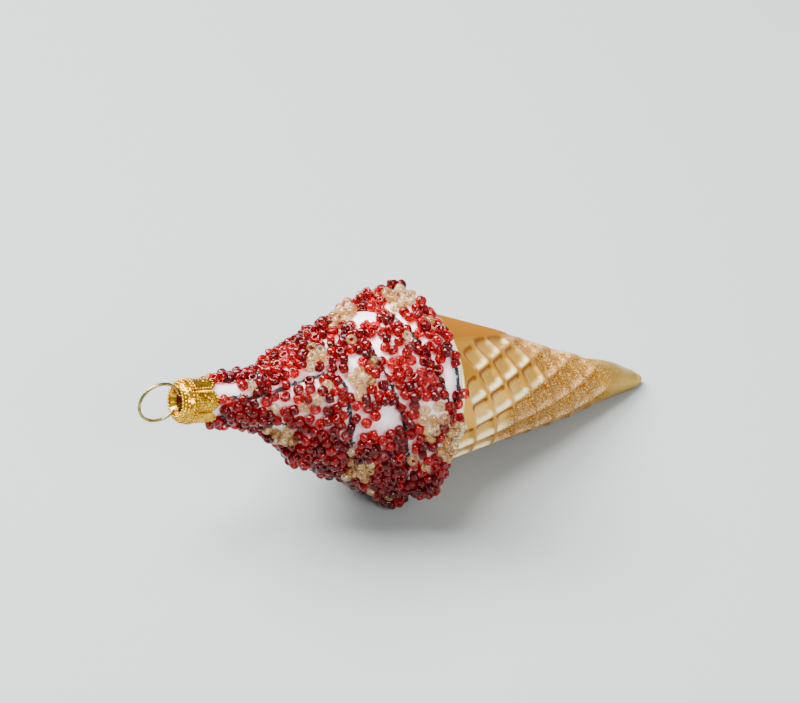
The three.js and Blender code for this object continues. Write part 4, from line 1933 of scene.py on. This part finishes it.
    def studs(self) -> bpy.types.Mesh:
        """Makes the rows of pearls round the end and the small dots along the lobes.

        Returns:
            The mesh of all the studs.
        """
        shape = bmesh.new()
        bmesh.ops.create_icosphere(shape, subdivisions=2, radius=1.0)
        studs = Copies(shape)
        rings = [(radius, self.end_station - below) for radius, below in self.end_rings]
        for inside, below in self.side_rings:
            rings.append((self.radius - inside, self.shoulder_station - below))
        for radius, station in rings:
            count = round(TURN * radius / self.pearl_pitch)
            for i in range(count):
                self.stud(studs, radius, TURN * i / count, station, self.pearl_radius)
        corner = self.half_lobe - self.dot_corner
        for lobe in range(self.lobes):
            middle = math.radians(self.lobe_centre) + TURN * lobe / self.lobes
            for side in (-1, 1):
                for step in range(self.dot_count):
                    across = min(corner, step * self.dot_pitch)
                    along = self.dot_height + max(0.0, step * self.dot_pitch - corner)
                    angle = middle + side * across / self.radius
                    station = float(self.skirt_at(angle)) + along
                    if station < self.shoulder_station - self.dot_end:
                        height = float(self.relief(np.array(angle), np.array(station)))
                        self.stud(studs, self.radius + height, angle, station, self.dot_radius)
        return studs.mesh("cap_studs")

    def stud(self, studs: Copies, radius: float, angle: float, station: float, size: float) -> None:
        """Adds one round stud, half sunk in the sheet."""
        place = Vector((radius * math.cos(angle), radius * math.sin(angle), station))
        studs.add(Matrix.Translation(place) @ Matrix.Scale(size, 4), 0.5)

    def build(self) -> bpy.types.Object:
        """Makes the cap.

        Returns:
            The piece.
        """
        mesh = joined("pressed_cap", [mesh_of(self.sheet(), "cap_sheet"), self.studs()])
        return piece("pressed_cap", mesh, GOLD_SHEET.material())


@dataclass
class WireLoop:
    """The wire loop whose two ends go down the cap's throat.

    Attributes:
        cap: The cap that holds it.
        loop_radius: Radius of the loop, to the middle of the wire.
        loop_station: Station of the loop's middle.
        wire_radius: Radius of the wire.
        leg_spread: Distance of each leg from the axis.
        end_spread: How much further from it the loop's ends are.
        leg_end_station: Station where the legs end.
        steps: Steps round the loop.
    """

    cap: PressedCap
    loop_radius: float = 4.32
    loop_station: float = 122.3
    wire_radius: float = 0.33
    leg_spread: float = 1.5
    end_spread: float = 0.25
    leg_end_station: float = 115.6
    steps: int = 72

    def route(self) -> list[Vector]:
        """Gives the wire's route, up out of the throat, round the loop and back down.

        Returns:
            The route's points.
        """
        open_turn = math.asin((self.leg_spread + self.end_spread) / self.loop_radius)
        leg = (self.leg_end_station, self.cap.end_station - self.cap.throat_depth)
        points = [Vector((0, -self.leg_spread, station)) for station in leg]
        for i in range(self.steps + 1):
            turn = open_turn + (TURN - 2 * open_turn) * i / self.steps
            station = self.loop_station - self.loop_radius * math.cos(turn)
            points.append(Vector((0, -self.loop_radius * math.sin(turn), station)))
        points += [Vector((0, self.leg_spread, station)) for station in reversed(leg)]
        return points

    def build(self) -> bpy.types.Object:
        """Makes the loop.

        Returns:
            The piece.
        """
        points = self.route()
        mesh = tube("wire", points, [self.wire_radius] * len(points), False)
        return piece("wire", mesh, BRASS_WIRE.material())


@dataclass(frozen=True)
class SoftLight:
    """One large soft light, aimed at the ornament.

    Attributes:
        name: The light's name.
        place: Where it stands, in metres.
        size: Its width, in metres.
        power: Its power, in watts.
    """

    name: str
    place: tuple[float, float, float]
    size: float
    power: float

    def build(self) -> None:
        """Makes the light."""
        data = bpy.data.lights.new(self.name, "AREA")
        data.size = self.size
        data.energy = self.power
        lamp = bpy.data.objects.new(self.name, data)
        lamp.location = self.place
        lamp.rotation_euler = (-Vector(self.place)).to_track_quat("-Z", "Y").to_euler()
        bpy.context.scene.collection.objects.link(lamp)


@dataclass
class Studio:
    """Pale floor, soft lights and the camera at the photograph's angle.

    Attributes:
        azimuth: The camera's turn round the ornament, in degrees.
        elevation: Its height angle, in degrees.
        distance: Its distance from what it looks at, in millimetres.
        focal_pixels: Focal length in pixels of the photograph.
        aim_station: Station on the axis that the aim is counted from.
        aim_right: How far right of it the camera looks, in millimetres.
        aim_up: How far above it.
        floor_size: Width of the floor, in metres.
        sky: Colour of the even light all round.
        sky_strength: Its strength.
        lights: The soft lights.
    """

    azimuth: float = -29.0
    elevation: float = 37.51
    distance: float = 506.3
    focal_pixels: float = 2400.0
    aim_station: float = 62.0
    aim_right: float = -2.68
    aim_up: float = 8.14
    floor_size: float = 6.0
    sky: Colour = paint(236, 240, 242)
    sky_strength: float = 0.55
    lights: tuple[SoftLight, ...] = (
        SoftLight("window_behind", (-0.45, 0.75, 1.0), 0.7, 66.0),
        SoftLight("overhead", (-0.1, 0.08, 0.6), 0.3, 8.4),
        SoftLight("front_fill", (0.1, -1.1, 0.8), 0.5, 16.0),
    )

    def camera(self) -> None:
        """Makes the camera."""
        azimuth, elevation = math.radians(self.azimuth), math.radians(self.elevation)
        level = math.cos(elevation)
        back = Vector((math.sin(azimuth) * level, -math.cos(azimuth) * level, math.sin(elevation)))
        right = Vector((math.cos(azimuth), math.sin(azimuth), 0))
        up = back.cross(right)
        aim = LAY.matrix @ Vector((0, 0, self.aim_station))
        aim += (right * self.aim_right + up * self.aim_up) * MM
        data = bpy.data.cameras.new("camera")
        data.sensor_width = 36
        data.sensor_fit = "HORIZONTAL"
        data.lens = self.focal_pixels * data.sensor_width / PHOTO_WIDTH
        data.clip_start = 0.01
        camera = bpy.data.objects.new("camera", data)
        turn = Matrix((right, up, back)).transposed().to_4x4()
        camera.matrix_world = Matrix.Translation(aim + back * self.distance * MM) @ turn
        bpy.context.scene.collection.objects.link(camera)
        bpy.context.scene.camera = camera

    def floor(self) -> None:
        """Makes the floor."""
        bm = bmesh.new()
        bmesh.ops.create_grid(bm, x_segments=1, y_segments=1, size=self.floor_size / 2)
        mesh = mesh_of(bm, "studio_floor")
        mesh.materials.append(FloorPaint().material())
        made = bpy.data.objects.new("studio_floor", mesh)
        bpy.context.scene.collection.objects.link(made)

    def world(self) -> None:
        """Makes the even light all round."""
        world = bpy.data.worlds.new("studio")
        world.use_nodes = True
        background = world.node_tree.nodes["Background"]
        background.inputs["Color"].default_value = self.sky
        background.inputs["Strength"].default_value = self.sky_strength
        bpy.context.scene.world = world

    def build(self) -> None:
        """Makes the studio."""
        self.world()
        self.floor()
        for light in self.lights:
            light.build()
        self.camera()


def main() -> None:
    """Builds the ornament and the studio round it."""
    logging.basicConfig(level=logging.INFO, format="%(relativeCreated)d %(name)s: %(message)s")
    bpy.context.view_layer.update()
    glass = SwirlGlass()
    beads = SeedBeads(glass)
    beads.spread_first()
    beads.heap_rest()
    red = [bead.centre for bead in beads.beads if bead.colour is BeadColour.RED]
    swirl = [glass.build(red), *beads.build(), GlitterLines(glass).build()]
    for part in swirl:
        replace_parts(part, "beaded_swirl")
    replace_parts(WaffleCone().build(), "waffle_cone")
    cap = PressedCap()
    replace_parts(cap.build(), "metal_cap")
    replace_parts(WireLoop(cap).build(), "wire_loop")
    Studio().build()


if __name__ == "__main__":
    main()
